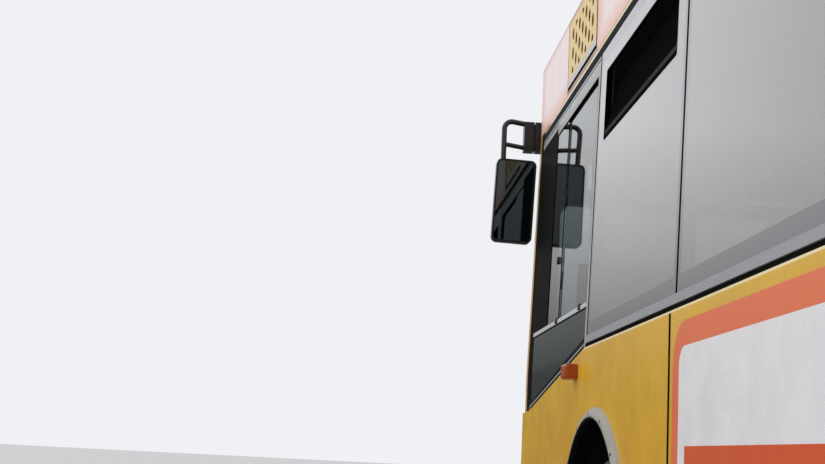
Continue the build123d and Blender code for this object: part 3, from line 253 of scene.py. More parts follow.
def enamel_gloss(tree, shader, point, dull, colour):
    """Chalked baked enamel: soft gloss over slight orange peel, drawn 4 mm across. Near-black is matt.

    The plain shine that is fed first is what a reader gets that can't follow the link.
    """
    haze = add(tree, "ShaderNodeTexNoise", {"Vector": point, "Scale": 7, "Detail": 5})
    rough = add(tree, "ShaderNodeMapRange", {
        0: haze, 1: 0.3, 2: 0.7, 3: dull - 0.08, 4: dull + 0.1})
    feed(tree, shader, {"Roughness": rough, "Specular IOR Level": 0.3})
    grey = add(tree, "ShaderNodeRGBToBW", {0: colour})
    shine = add(tree, "ShaderNodeMapRange", {0: grey, 1: 0.055, 2: 0.12, 3: 0.0, 4: 0.3})
    feed(tree, shader, {"Specular IOR Level": shine, "Base Color": colour})
    peel = add(tree, "ShaderNodeTexNoise", {"Vector": point, "Scale": 250, "Detail": 2})
    bump = add(tree, "ShaderNodeBump", {"Height": peel, "Strength": 0.05, "Distance": 0.001})
    feed(tree, shader, {"Normal": bump})


def wall_enamel(name, field_y, surround):
    """Enamel wall: vinyl field, primer behind the glass, cant strip, cabin trim, painted highlight and
    shade.
    """
    material, tree, shader, point = new_finish(name)
    x, y, z = add(tree, "ShaderNodeSeparateXYZ", {0: point}).outputs
    edge = panel_distance(tree, y, z, (*field_y, *VINYL_Z), VINYL_CORNER)
    chalk = add(tree, "ShaderNodeTexNoise", {"Vector": point, "Scale": 3.5, "Detail": 6})
    white = coats(tree, "#E2DFE0", [(chalk, "#F1EFF0")])
    vinyl = add(tree, "ShaderNodeMath", {0: edge, 1: 0.0}, operation="LESS_THAN")
    field = add(tree, "ShaderNodeMath", {0: edge, 1: -BORDER}, operation="LESS_THAN")
    inset = add(tree, "ShaderNodeMath", {0: edge, 1: -STRIPE_INSET}, operation="LESS_THAN")
    layers = [(vinyl, "#E87448"), (field, white)]
    for low, high in ((0.935, 1.005), (0.870, 0.900)):
        layers.append((overlap(tree, within(tree, z, low, high), inset), "#D9592B"))
    # Bands along the wall: a painted highlight on the rounded top edge of the yellow panel below the waist
    # rail, the dark gasket over the glass, the cant strip, and a brown band of painted shadow under the
    # fairing boards.
    for low, high, code in (
            (1.4425, 1.4500, "#F1DFAE"),
            (GLASS_HEAD, 2.846, "#34373A"),
            (2.846, 2.862, "#DFCD9C"),
            (2.862, 2.872, "#8A7646")):
        layers.append((within(tree, z, low, high), code))
    layers += [(area(tree, y, z, limits), code) for limits, code in surround]
    depth = depth_in_wall(tree, x, z)
    # Faces sunk more than 2.5 mm are near-black: the primer behind the glass, and painted shade in the
    # groove below the waist rail and in other recesses.
    primer_and_recess_shade = add(tree, "ShaderNodeMath", {0: depth, 1: 0.0025}, operation="GREATER_THAN")
    inside = add(tree, "ShaderNodeMath", {0: depth, 1: 0.046}, operation="GREATER_THAN")
    layers += [(primer_and_recess_shade, "#1A1A18"), (inside, "#8F9295")]
    cut = add(tree, "ShaderNodeMath", {0: arch_distance(tree, y, z), 1: ARCH_CUT}, operation="LESS_THAN")
    layers.append((cut, "#0D0D0D"))
    enamel_gloss(tree, shader, point, 0.28, coats(tree, weathered_yellow(tree, point, z), layers))
    return material


left_strips = [
    ((-2.109, -2.081, 0.29, 1.4425), "#1E1812"),
    ((1.806, 1.834, 0.29, 1.4425), "#1E1812"),
    # Cream strip up the front corner: a painted highlight where the corner turns away.
    ((-5.54, -5.49, 1.22, 2.86), "#CFA766"),
    ((-5.49, -5.38, 1.22, 2.86), "#2A2118"),
    ((-5.40, CAB_REAR, 2.752, 2.801), "#A5A6A4"),
    ((-3.72, CAB_REAR, 2.690, 2.801), "#A5A6A4"),
    ((-5.40, CAB_REAR, 2.784, 2.790), "#1A1A18"),
    ((-3.646, CAB_REAR + 0.003, 1.45, 2.80), "#A9AAA8"),
    ((-3.641, -3.624, 1.45, 2.80), "#121211"),
]
dress("side_left", wall_enamel("yellow_enamel_left_wall", (-2.045, 1.790), left_strips))
right_enamel = wall_enamel("yellow_enamel_right_wall", (0.42, 1.72), [])
for name in ("side_right_front", "side_right_middle", "side_right_rear", "door_headers"):
    dress(name, right_enamel)


# Front and rear ends: moulded glass-fibre shells in the same yellow enamel, dusty along the foot.
# A cream painted highlight runs up the front corner posts, and the bumper is a separate moulding.
material, tree, shader, point = new_finish("yellow_enamel_glass_fibre")
x, y, z = add(tree, "ShaderNodeSeparateXYZ", {0: point}).outputs
# The cream strip up the corner post is a painted highlight.
colour = coats(tree, weathered_yellow(tree, point, z), [
    (area(tree, y, z, (-5.60, -5.53, 1.22, 2.86)), "#CFA766")])
enamel_gloss(tree, shader, point, 0.28, colour)
for name in ("front_mask", "front_panel", "rear_wall", "engine_lid", "front_bumper"):
    dress(name, material)


# Side panes: tinted safety glass bonded flush to the pillars, its rim printed black from inside.
# Two mirroring layers keep the panes pale from low down, and black sealant fills the joints between them.
# Three panes on the left and two on the right have an open hopper at the top, painted near-black and dull as
# painted shade from the cabin behind it, with a thin painted highlight along its lower edge.
GLASS_IOR = 1.52
PANE_PITCH = 1.6077
HOPPER_INSET = 0.154
HOPPER_Z = (2.370, 2.674)
LEFT_JOINTS = [CAB_REAR + step * PANE_PITCH for step in range(6)] + [5.780]
RIGHT_JOINTS = [-4.230, -2.625, -1.020, 0.220, 1.850, 3.480, 4.720, 5.780]
material, tree, shader, point = new_finish("tinted_safety_glass")
x, y, z = add(tree, "ShaderNodeSeparateXYZ", {0: point}).outputs
clear_band = within(tree, z, 1.560, 2.745)
rims = [add(tree, "ShaderNodeMath", {0: 1.0, 1: clear_band}, operation="SUBTRACT")]
seals = []
for joints, side in ((LEFT_JOINTS, "GREATER_THAN"), (RIGHT_JOINTS, "LESS_THAN")):
    here = add(tree, "ShaderNodeMath", {0: x, 1: 0.0}, operation=side)
    for joint in joints:
        for reach, masks in ((0.045, rims), (0.012, seals)):
            masks.append(overlap(tree, within(tree, y, joint - reach, joint + reach), here))
left = add(tree, "ShaderNodeMath", {0: x, 1: 0.0}, operation="GREATER_THAN")
depth = depth_in_wall(tree, x, z)
swung = add(tree, "ShaderNodeMath", {0: depth, 1: 0.0095}, operation="GREATER_THAN")
# The open hoppers are painted near-black and dull: painted shade from the cabin behind them.
hopper_shade_parts = [overlap(tree, swung, within(tree, z, 2.37, 2.67))]
for pane in (0, 2, 4):
    ends = (LEFT_JOINTS[pane] + HOPPER_INSET, LEFT_JOINTS[pane + 1] - HOPPER_INSET)
    edge = panel_distance(tree, y, z, (*ends, *HOPPER_Z), 0.004)
    hopper_shade_parts.append(overlap(tree, within(tree, edge, -1.0, 0.012), left))
hopper_shade = union(tree, hopper_shade_parts)
matt = union(tree, [hopper_shade] + seals)
clear = add(tree, "ShaderNodeMath", {0: 1.0, 1: union(tree, [matt] + rims)}, operation="SUBTRACT")
body = add(tree, "ShaderNodeMath", {0: 1.0, 1: matt}, operation="SUBTRACT")
# A thin painted highlight along the lower edge of each hopper.
hopper_edge_highlight = overlap(tree, hopper_shade, within(tree, z, 2.384, 2.410))
tint = coats(tree, "#060607", [
    (body, "#3E3F40"), (clear, "#B3B1AD"), (hopper_edge_highlight, "#3A3B3C")])
feed(tree, shader, {"Base Color": tint})
through = add(tree, "ShaderNodeMath", {0: clear, 1: 0.70}, operation="MULTIPLY")
feed(tree, shader, {
    "Transmission Weight": through, "Coat Weight": body, "Coat Roughness": 0.02, "IOR": GLASS_IOR})
film = add(tree, "ShaderNodeTexNoise", {"Vector": point, "Scale": 2.4, "Detail": 6})
haze = add(tree, "ShaderNodeMapRange", {0: film, 1: 0.35, 2: 0.7, 3: 0.02, 4: 0.08})
specks = add(tree, "ShaderNodeTexVoronoi", {"Vector": point, "Scale": 45})
specks = add(tree, "ShaderNodeMapRange", {0: specks, 1: 0.06, 2: 0.12, 3: 0.5, 4: 0.0})
haze = union(tree, [haze, specks, matt])
feed(tree, shader, {"Roughness": haze})
sheen = add(tree, "ShaderNodeMapRange", {0: matt, 3: 0.5, 4: 0.01})
feed(tree, shader, {"Specular IOR Level": sheen})
dress("side_glass", material)


# Rear window: the same tinted glass in one pane, bonded into the rear shell.
# It stays dark and mirror-like, and a printed black rim hides the glue line behind it.
material, tree, shader, point = new_finish("tinted_rear_glass")
x, y, z = add(tree, "ShaderNodeSeparateXYZ", {0: point}).outputs
edge = panel_distance(tree, x, z, (-0.85, 0.85, 1.620, 2.560), 0.09)
clear = add(tree, "ShaderNodeMath", {0: edge, 1: -0.06}, operation="LESS_THAN")
tint = coats(tree, "#060607", [(clear, "#7F8688")])
feed(tree, shader, {"Base Color": tint, "Transmission Weight": clear})
film = add(tree, "ShaderNodeTexNoise", {"Vector": point, "Scale": 2.4, "Detail": 6})
haze = add(tree, "ShaderNodeMapRange", {0: film, 1: 0.35, 2: 0.7, 3: 0.02, 4: 0.09})
feed(tree, shader, {"Roughness": haze, "IOR": GLASS_IOR})
dress("rear_window", material)


# Waist rail: a satin anodised aluminium strip that covers the foot of the side panes.
# It is drawn along its length, so fine scratches run fore and aft and stretch its soft highlight.
material, tree, shader, point = new_finish("anodised_aluminium_rail")
drawn = add(tree, "ShaderNodeMapping", {"Vector": point, "Scale": (300, 3, 300)})
lines = add(tree, "ShaderNodeTexNoise", {"Vector": drawn, "Scale": 4, "Detail": 4})
tone = coats(tree, "#8E9094", [(lines, "#B0B2B5")])
feed(tree, shader, {"Base Color": tone})
rough = add(tree, "ShaderNodeMapRange", {0: lines, 3: 0.38, 4: 0.55})
feed(tree, shader, {"Roughness": rough, "Metallic": 0.35})
dress("waist_rails", material)


# Driver's window: matt black rubber frame with a bright bead along the sill, a broad front post, and a
# silver cross bar over the low pane. The rear and head members carry a pale printed rim, as the glass does.
material, tree, shader, point = new_finish("gasket_rubber_and_cross_bar")
x, y, z = add(tree, "ShaderNodeSeparateXYZ", {0: point}).outputs
run = add(tree, "ShaderNodeMath", {0: y, 1: 3.673}, operation="ADD")
sill = add(tree, "ShaderNodeMath", {0: run, 1: 0.1336, 2: 1.450}, operation="MULTIPLY_ADD")
up = add(tree, "ShaderNodeMath", {0: z, 1: sill}, operation="SUBTRACT")
rear = add(tree, "ShaderNodeMath", {0: y, 1: -3.684}, operation="GREATER_THAN")
head = area(tree, y, z, (-4.860, -3.640, 2.716, 2.760))
behind = add(tree, "ShaderNodeMath", {0: depth_in_wall(tree, x, z), 1: 0.014}, operation="GREATER_THAN")
under = overlap(tree, area(tree, y, z, (-4.860, -3.640, 2.700, 2.7165)), behind)
pale = union(tree, [rear, head, under])
ribs = add(tree, "ShaderNodeTexWave", {"Vector": point, "Scale": 9, "Distortion": 0.0}, bands_direction="Y")
bar = area(tree, y, z, (-5.358, -3.688, 1.638, 1.6595))
tone = coats(tree, "#0A0A0A", [
    (ribs.outputs[1], "#171716"), (within(tree, up, 0.022, 0.060), "#1D2623"),
    (within(tree, up, 0.014, 0.022), "#9DA1A4"), (pale, "#A3A4A2"), (bar, "#CDD0D3")])
feed(tree, shader, {"Base Color": tone})
bright = union(tree, [pale, bar])
rough = add(tree, "ShaderNodeMapRange", {0: bright, 3: 0.6, 4: 0.3})
feed(tree, shader, {"Roughness": rough, "Specular IOR Level": 0.05})  # Kept where the link is lost.
shine = add(tree, "ShaderNodeMapRange", {0: bright, 3: 0.02, 4: 0.12})
feed(tree, shader, {"Specular IOR Level": shine})
metal = add(tree, "ShaderNodeMath", {0: bar, 1: 0.25}, operation="MULTIPLY")
feed(tree, shader, {"Metallic": metal})
dress("cab_window_frame", material)

# The panes are clear safety glass, and the low one has a green tint that looks almost black.
material, tree, shader, point = new_finish("clear_cab_glass")
z = add(tree, "ShaderNodeSeparateXYZ", {0: point}).outputs[2]
low = add(tree, "ShaderNodeMath", {0: z, 1: 1.645}, operation="LESS_THAN")
tint = coats(tree, "#C3CCCA", [(low, "#26302B")])
feed(tree, shader, {"Base Color": tint})
sheen = add(tree, "ShaderNodeMapRange", {0: low, 3: 0.5, 4: 0.03})
feed(tree, shader, {"Specular IOR Level": sheen})
clear = add(tree, "ShaderNodeMapRange", {0: low, 3: 1.0, 4: 0.35})
feed(tree, shader, {"Transmission Weight": clear, "Roughness": 0.01, "IOR": GLASS_IOR})
dress("cab_window_glass", material)


def moulding(name, code, rough, grain_mm, shift=0.1, metal=0.0):
    """A moulded, cast or coated surface: faint mottling, gloss that varies with it, fine grain."""
    material, tree, shader, point = new_finish(name)
    mottle = add(tree, "ShaderNodeTexNoise", {"Vector": point, "Scale": 9, "Detail": 6})
    base = hex_colour(code)
    dark = tuple(c * (1 - shift) for c in base[:3]) + (1,)
    pale = tuple(min(1, c * (1 + shift)) for c in base[:3]) + (1,)
    feed(tree, shader, {"Base Color": coats(tree, dark, [(mottle, pale)])})
    sheen = add(tree, "ShaderNodeMapRange", {
        0: mottle, 1: 0.3, 2: 0.7, 3: rough * 0.85, 4: min(1, rough * 1.2)})
    feed(tree, shader, {"Roughness": sheen})
    grain = add(tree, "ShaderNodeTexNoise", {"Vector": point, "Scale": 1000 / grain_mm, "Detail": 2})
    bump = add(tree, "ShaderNodeBump", {"Height": grain, "Strength": 0.12, "Distance": 0.0005})
    feed(tree, shader, {"Normal": bump, "Metallic": metal})
    return material


def new_piece(name, mesh, material, body):
    """Puts a finished mesh in the scene with its material and on its body."""
    piece = bpy.data.objects.new(name, mesh)
    scene.collection.objects.link(piece)
    mesh.materials.clear()
    mesh.materials.append(material)
    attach(piece, body)
    return piece


def rounded_block(bm, low, high, radius):
    """Adds a block with rounded edges between two corners."""
    centre = [(a + b) / 2 for a, b in zip(low, high)]
    size = [b - a for a, b in zip(low, high)]
    made = bmesh.ops.create_cube(bm, size=1, matrix=Matrix.Translation(centre) @ Matrix.Diagonal((*size, 1)))
    edges = {edge for vert in made["verts"] for edge in vert.link_edges}
    bmesh.ops.bevel(bm, geom=list(edges), offset=radius, segments=3, affect="EDGES", profile=0.5)


def blocks_mesh(name, blocks):
    """One mesh of rounded blocks from rows of low corner, high corner and edge radius."""
    bm = bmesh.new()
    for low, high, radius in blocks:
        rounded_block(bm, low, high, radius)
    mesh = bpy.data.meshes.new(name)
    bm.to_mesh(mesh)
    bm.free()
    mesh.shade_smooth()
    return mesh


# Catches of the driver's window: a latch and a pull on the sliding pane, and two stops on the bar.
# Moulded in black ABS, screwed through the glass. The ABS is a deep black with a soft sheen.
black_abs = moulding("black_abs", "#151516", 0.42, 1.2)
catches = blocks_mesh("cab_window_catches", [
    ((1.226, -4.600, 1.957), (1.243, -4.565, 1.993), 0.004),
    ((1.224, -4.508, 1.816), (1.234, -4.494, 1.906), 0.003),
    ((1.224, -4.560, 1.640), (1.250, -4.505, 1.668), 0.003),
    ((1.224, -3.890, 1.640), (1.250, -3.845, 1.668), 0.003),
])
new_piece("cab_window_catches", catches, black_abs, "body")


# Driver's blind: black vinyl cloth hung from the head of the frame, drawn part of the way down.
# Its foot is welded round a thin rod, and the vinyl is dull black with hardly any shine.
blind_vinyl = moulding("black_blind_vinyl", "#0C0C0D", 0.75, 1.0)
cloth = blocks_mesh("driver_blind", [
    ((1.180, -4.852, 2.385), (1.184, -4.556, 2.712), 0.001),
    ((1.176, -4.856, 2.378), (1.188, -4.552, 2.392), 0.004),
])
new_piece("driver_blind", cloth, blind_vinyl, "body")


# Fairing boards: painted sheet round the roof, its print bleached to pinkish white by the sun.
# Each board keeps a salmon margin along its foot and its ends, and a dark line along its top edge.
material, tree, shader, point = new_finish("bleached_enamel_boards")
x, y, z = add(tree, "ShaderNodeSeparateXYZ", {0: point}).outputs
foot = add(tree, "ShaderNodeMapRange", {0: z, 1: 2.88, 2: 2.97, 3: 1.0, 4: 0.0})
head = add(tree, "ShaderNodeMapRange", {0: z, 1: 3.22, 2: 3.26, 3: 0.0, 4: 0.4})
margin = union(tree, [foot, head])
for end in (-5.60, -3.794, -2.021, 1.194, 2.802, 4.410):
    off = add(tree, "ShaderNodeMath", {0: y, 1: end}, operation="SUBTRACT")
    off = add(tree, "ShaderNodeMapRange", {0: off, 1: 0.05, 2: 0.22, 3: 0.9, 4: 0.0})
    behind = add(tree, "ShaderNodeMath", {0: y, 1: end}, operation="GREATER_THAN")
    margin = union(tree, [margin, overlap(tree, off, behind)])
faded = add(tree, "ShaderNodeMapping", {"Vector": point, "Scale": (1, 5, 0.6)})
faded = add(tree, "ShaderNodeTexNoise", {"Vector": faded, "Scale": 2.2, "Detail": 4})
crest = add(tree, "ShaderNodeMath", {0: z, 1: 3.270}, operation="GREATER_THAN")
tone = coats(tree, "#F8EEEF", [
    (faded, "#F5DCDA"), (margin, "#F2C3B3"), (crest, "#6E5C58"),
    # A dark band at the joint by the grille: the dark joint, widened by painted shade.
    (area(tree, y, z, (-3.795, -3.780, 2.872, 3.270)), "#5C3D36"),
    (area(tree, y, z, (-4.618, -3.794, 2.860, 2.887)), "#A88774"),
    # A black line of painted shadow in the gap under the grille.
    (area(tree, y, z, (-4.618, -3.794, 2.887, 2.894)), "#12100D")])
enamel_gloss(tree, shader, point, 0.4, tone)
dress("roof_fairing", material)


# Grille panels: one cream enamelled sheet on each side, punched with staggered upright openings.
# A bare metal strip runs along its foot, and a black band below it is painted shadow of the gap there.
# Dark woven wire behind it keeps leaves off the gas valves, so the openings look deep olive brown.
# The walls of the openings are painted golden brown, as painted shade.
material, tree, shader, point = new_finish("cream_enamel_perforated_sheet")
x, y, z = add(tree, "ShaderNodeSeparateXYZ", {0: point}).outputs
out = add(tree, "ShaderNodeMath", {0: x}, operation="ABSOLUTE")
hole_wall_shade = add(tree, "ShaderNodeMath", {0: out, 1: 1.2086}, operation="LESS_THAN")
grime = add(tree, "ShaderNodeTexNoise", {"Vector": point, "Scale": 22, "Detail": 5})
cream = coats(tree, "#DDB565", [
    (grime, "#F4DDA0"),
    (within(tree, z, 2.912, 2.951), "#C6C5C2"),
    # Black band along the foot: painted shadow of the gap below the sheet.
    (within(tree, z, 2.880, 2.912), "#12100D"),
    # Dark band at the joint with the board: the dark joint, widened by painted shade.
    (within(tree, y, -3.818, -3.790), "#4A3026"),
    (within(tree, y, -4.620, -4.612), "#8A6A48"),
    # The walls of the openings: painted shade.
    (hole_wall_shade, "#8A6B24")])
enamel_gloss(tree, shader, point, 0.4, cream)
dress("fairing_grilles", material)
wire = moulding("dark_wire_mesh", "#6E5420", 0.7, 2.0, 0.3)
backing = blocks_mesh("grille_mesh", [
    ((1.172, -4.617, 2.897), (1.176, -3.795, 3.264), 0.001),
    ((-1.176, -4.617, 2.897), (-1.172, -3.795, 3.264), 0.001),
])
new_piece("grille_mesh", backing, wire, "body")


# Roof: white enamelled sheet outside, sooty along the middle, with its lining over the cabin painted dark
# grey as painted shade inside the cabin.
# Its two hatches are moulded ABS lids, matt and light grey, and the gas tanks' enamel is a cleaner
# white. The zinc on their cradles is a cloudy metal grey.
material, tree, shader, point = new_finish("white_enamel_roof")
z = add(tree, "ShaderNodeSeparateXYZ", {0: point}).outputs[2]
soot = add(tree, "ShaderNodeTexNoise", {"Vector": point, "Scale": 2.2, "Detail": 8})
soot = add(tree, "ShaderNodeMapRange", {0: soot, 1: 0.4, 2: 0.75, 3: 0.0, 4: 0.6})
top = coats(tree, "#D4D4CF", [(soot, "#9B9A91")])
# Below 2.935 m the lining is painted dark grey: painted shade inside the cabin.
shaded_lining = add(tree, "ShaderNodeMath", {0: z, 1: 2.935}, operation="LESS_THAN")
feed(tree, shader, {"Base Color": coats(tree, top, [(shaded_lining, "#242527")]), "Roughness": 0.6})
dress("roof", material)
hatch_abs = moulding("grey_hatch_abs", "#BFC0BD", 0.45, 1.5)
for name in ("roof_hatch_front", "roof_hatch_rear"):
    dress(name, hatch_abs)
dress("gas_tanks", moulding("white_tank_enamel", "#D6D6D1", 0.4, 2.0))
dress("tank_cradles", moulding("galvanised_steel", "#8E9194", 0.45, 6.0, 0.15, 0.7))


# Mirrors: black ABS heads that lean out a little, on black powder-coated tube.
# A silvered glass fills the rear face, darkened as a painted reflection of the dark cab window and pillar,
# and the shell behind the rim is glossier than the rest.
material, tree, shader, point = new_finish("black_abs_and_silvered_glass")
x, y, z = add(tree, "ShaderNodeSeparateXYZ", {0: point}).outputs
out = add(tree, "ShaderNodeMath", {0: x}, operation="ABSOLUTE")
folded = add(tree, "ShaderNodeCombineXYZ", {0: out, 1: y, 2: z})
upright = add(tree, "ShaderNodeVectorRotate", {
    "Vector": folded, "Center": (1.360, 0, 2.470), "Angle": math.radians(2),
}, rotation_type="Y_AXIS")
level_x, _, level_z = add(tree, "ShaderNodeSeparateXYZ", {0: upright}).outputs
edge = panel_distance(tree, level_x, level_z, (1.2513, 1.4687, 2.2288, 2.7112), 0.024)
plate = add(tree, "ShaderNodeMath", {0: edge, 1: 0.0001}, operation="LESS_THAN")
glass = overlap(tree, plate, within(tree, y, -5.5648, -5.5590))
shell = add(tree, "ShaderNodeMath", {0: y, 1: -5.570}, operation="LESS_THAN")
# The mirror glass colour is darkened: a painted reflection of the dark cab beside it.
tone = coats(tree, "#0F0F10", [(shell, "#252628"), (glass, "#4A5052")])
feed(tree, shader, {"Base Color": tone, "Metallic": glass})
rough = add(tree, "ShaderNodeMapRange", {0: shell, 3: 0.42, 4: 0.2})
rough = add(tree, "ShaderNodeMix", {0: glass, 2: rough, 3: 0.02}, data_type="FLOAT")
feed(tree, shader, {"Roughness": rough})
dress("mirrors", material)


# Side lamps: ribbed amber polycarbonate, screwed to the flank ahead of each front arch.
# Light sinks a little way into the lens, so it looks deep orange between the bright ribs.
material, tree, shader, point = new_finish("amber_polycarbonate")
ribs = add(tree, "ShaderNodeTexWave", {"Vector": point, "Scale": 50}, bands_direction="Y")
bump = add(tree, "ShaderNodeBump", {"Height": ribs.outputs[1], "Strength": 0.25, "Distance": 0.001})
feed(tree, shader, {"Normal": bump})
deep = add(tree, "ShaderNodeTexNoise", {"Vector": point, "Scale": 30, "Detail": 3})
feed(tree, shader, {
    "Base Color": coats(tree, "#8E380A", [(deep, "#C0571A")]), "Roughness": 0.22, "Subsurface Weight": 0.25,
    "Subsurface Radius": (0.02, 0.006, 0.002)})
dress("side_repeaters", material)


# Arch lips: grey extruded rubber bent round each wheel arch, chalky with age, and black on the side that
# faces the tyre, from road film and painted shade inside the arch. Geometry Nodes set dark countersunk
# screws round the slope.
material, tree, shader, point = new_finish("grey_extruded_rubber")
chalk = add(tree, "ShaderNodeTexNoise", {"Vector": point, "Scale": 12, "Detail": 6})
x, y, z = add(tree, "ShaderNodeSeparateXYZ", {0: point}).outputs
# Black towards the tyre: road film, and painted shade inside the arch.
film = add(tree, "ShaderNodeMapRange", {0: arch_distance(tree, y, z), 1: 0.7110, 2: 0.7180, 3: 1.0, 4: 0.0})
feed(tree, shader, {"Base Color": coats(tree, "#87837A", [(chalk, "#B0ACA5"), (film, "#0E0D0D")])})
rough = add(tree, "ShaderNodeMapRange", {0: chalk, 3: 0.45, 4: 0.7})
feed(tree, shader, {"Roughness": rough, "Specular IOR Level": 0.3})
dress("arch_trims", material)


def named_inputs(tree, names):
    """Gives a geometry tree its named number inputs and its geometry output."""
    for label, kind in names:
        tree.interface.new_socket(label, in_out="INPUT", socket_type=kind)
    tree.interface.new_socket("Geometry", in_out="OUTPUT", socket_type="NodeSocketGeometry")
    return add(tree, "NodeGroupInput")


def grown_mesh(tree, values):
    """The plain mesh that a geometry tree gives for its named values."""
    carrier = bpy.data.objects.new("carrier", bpy.data.meshes.new("carrier"))
    scene.collection.objects.link(carrier)
    modifier = carrier.modifiers.new("grow", "NODES")
    modifier.node_group = tree
    for socket in tree.interface.items_tree:
        if socket.in_out == "INPUT":
            modifier[socket.identifier] = values[socket.name]
    graph = bpy.context.evaluated_depsgraph_get()
    graph.update()
    mesh = bpy.data.meshes.new_from_object(carrier.evaluated_get(graph))
    carrier.modifiers.clear()
    bpy.data.objects.remove(carrier)
    return mesh


def ring_of_heads(name, material):
    """A tree that sets coned heads round a circle. Each leans out, square to a cone of the rise's height."""
    tree = bpy.data.node_groups.new(name, "GeometryNodeTree")
    given = named_inputs(tree, (
        ("Count", "NodeSocketInt"), ("Ring radius", "NodeSocketFloat"), ("Head radius", "NodeSocketFloat"),
        ("Face radius", "NodeSocketFloat"), ("Height", "NodeSocketFloat"), ("Sides", "NodeSocketInt"),
        ("Rise", "NodeSocketFloat")))
    ring = add(tree, "GeometryNodeMeshCircle", {
        "Vertices": given.outputs["Count"], "Radius": given.outputs["Ring radius"]})
    head = add(tree, "GeometryNodeMeshCone", {
        "Vertices": given.outputs["Sides"], "Radius Bottom": given.outputs["Head radius"],
        "Radius Top": given.outputs["Face radius"], "Depth": given.outputs["Height"]})
    spot = add(tree, "GeometryNodeInputPosition")
    rise = add(tree, "ShaderNodeCombineXYZ", {2: given.outputs["Rise"]})
    aim = add(tree, "ShaderNodeVectorMath", {0: spot, 1: rise})
    facing = add(tree, "FunctionNodeAlignRotationToVector", {"Vector": aim}, axis="Z")
    laid = add(tree, "GeometryNodeInstanceOnPoints", {
        "Points": ring, "Instance": head, "Rotation": facing})
    real = add(tree, "GeometryNodeRealizeInstances", {0: laid})
    done = add(tree, "GeometryNodeSetMaterial", {"Geometry": real, "Material": material})
    add(tree, "NodeGroupOutput", {0: done})
    return tree


def gather(name, parts):
    """Joins copies of meshes, each moved by its matrix, into one mesh."""
    bm = bmesh.new()
    for mesh, matrix in parts:
        copy = mesh.copy()
        copy.transform(matrix)
        bm.from_mesh(copy)
        bpy.data.meshes.remove(copy)
    joined = bpy.data.meshes.new(name)
    bm.to_mesh(joined)
    bm.free()
    return joined


def facing_out(sign, x, y, z, spin=0.0):
    """Stands a flat ring on a side of the bus, its heads pointing away from the middle."""
    turned = spin if sign > 0 else math.pi - spin
    return (Matrix.Translation((sign * x, y, z)) @ Matrix.Rotation(sign * math.pi / 2, 4, "Y")
            @ Matrix.Rotation(turned, 4, "Z"))


screw_steel = moulding("blackened_screw_steel", "#1E1E20", 0.45, 0.8, 0.1, 0.5)
SCREW_RING = 0.727
LIP_SLOPE = math.radians(14.7)
LIP_X = 1.2700
LIP_FOOT_Z = 0.34
screws = grown_mesh(ring_of_heads("screws_round_arch", screw_steel), {
    "Count": 17, "Ring radius": SCREW_RING, "Head radius": 0.0075, "Face radius": 0.0070, "Height": 0.004,
    "Sides": 12, "Rise": SCREW_RING / math.tan(LIP_SLOPE)})
first_screw = math.radians(12.7)
arches = gather("arch_screws", [
    (screws, facing_out(sign, LIP_X, axle_y, ARCH_Z, first_screw))
    for sign in (-1, 1) for axle_y in AXLES_Y.values()])
bm = bmesh.new()
bm.from_mesh(arches)
bmesh.ops.delete(bm, geom=[vert for vert in bm.verts if vert.co.z < LIP_FOOT_Z], context="VERTS")
bm.to_mesh(arches)
bm.free()
new_piece("arch_screws", arches, screw_steel, "body")


# Tyres: moulded rubber, brown-grey with road dust, with ribs on the sidewall and a blocked tread.
# Each carcass is turned from one profile. Geometry Nodes set the tread blocks in five rows round it.
material, tree, shader, point = new_finish("dusty_tyre_rubber")
dust = add(tree, "ShaderNodeTexNoise", {"Vector": point, "Scale": 16, "Detail": 8})
dust = add(tree, "ShaderNodeMapRange", {0: dust, 1: 0.3, 2: 0.65})
feed(tree, shader, {
    "Base Color": coats(tree, "#33312F", [(dust, "#716D68")]), "Roughness": 0.85,
    "Specular IOR Level": 0.25})
tyre_rubber = material
TYRE_PROFILE = [
    (0.105, 0.2855), (0.109, 0.300), (0.122, 0.330), (0.1285, 0.333), (0.1295, 0.340), (0.1260, 0.343),
    (0.1360, 0.372), (0.1375, 0.392), (0.1340, 0.418), (0.1300, 0.422), (0.1300, 0.430), (0.1270, 0.434),
    (0.1220, 0.452), (0.1140, 0.462), (0.1040, 0.4685), (0.0520, 0.4690), (0.0000, 0.4690),
]
TYRE_STEPS = 144
TREAD_ROWS = [(-0.088, 0.030), (-0.044, 0.036), (0.0, 0.034), (0.044, 0.036), (0.088, 0.030)]
TREAD_COUNT = 76
TYRE_RADIUS = 0.4785
WHEEL_X = 1.072
TWIN_X = 0.761


def tread_ring(name, material):
    """A tree that sets tread blocks round a circle, each turned to face outwards."""
    tree = bpy.data.node_groups.new(name, "GeometryNodeTree")
    given = named_inputs(tree, (
        ("Count", "NodeSocketInt"), ("Radius", "NodeSocketFloat"), ("Height", "NodeSocketFloat"),
        ("Length", "NodeSocketFloat"), ("Width", "NodeSocketFloat")))
    ring = add(tree, "GeometryNodeMeshCircle", {
        "Vertices": given.outputs["Count"], "Radius": given.outputs["Radius"]})
    size = add(tree, "ShaderNodeCombineXYZ", {
        0: given.outputs["Height"], 1: given.outputs["Length"], 2: given.outputs["Width"]})
    block = add(tree, "GeometryNodeMeshCube", {"Size": size})
    spot = add(tree, "GeometryNodeInputPosition")
    facing = add(tree, "FunctionNodeAlignRotationToVector", {"Vector": spot},
                 axis="X", pivot_axis="Z")
    laid = add(tree, "GeometryNodeInstanceOnPoints", {
        "Points": ring, "Instance": block, "Rotation": facing})
    real = add(tree, "GeometryNodeRealizeInstances", {0: laid})
    done = add(tree, "GeometryNodeSetMaterial", {"Geometry": real, "Material": material})
    add(tree, "NodeGroupOutput", {0: done})
    return tree


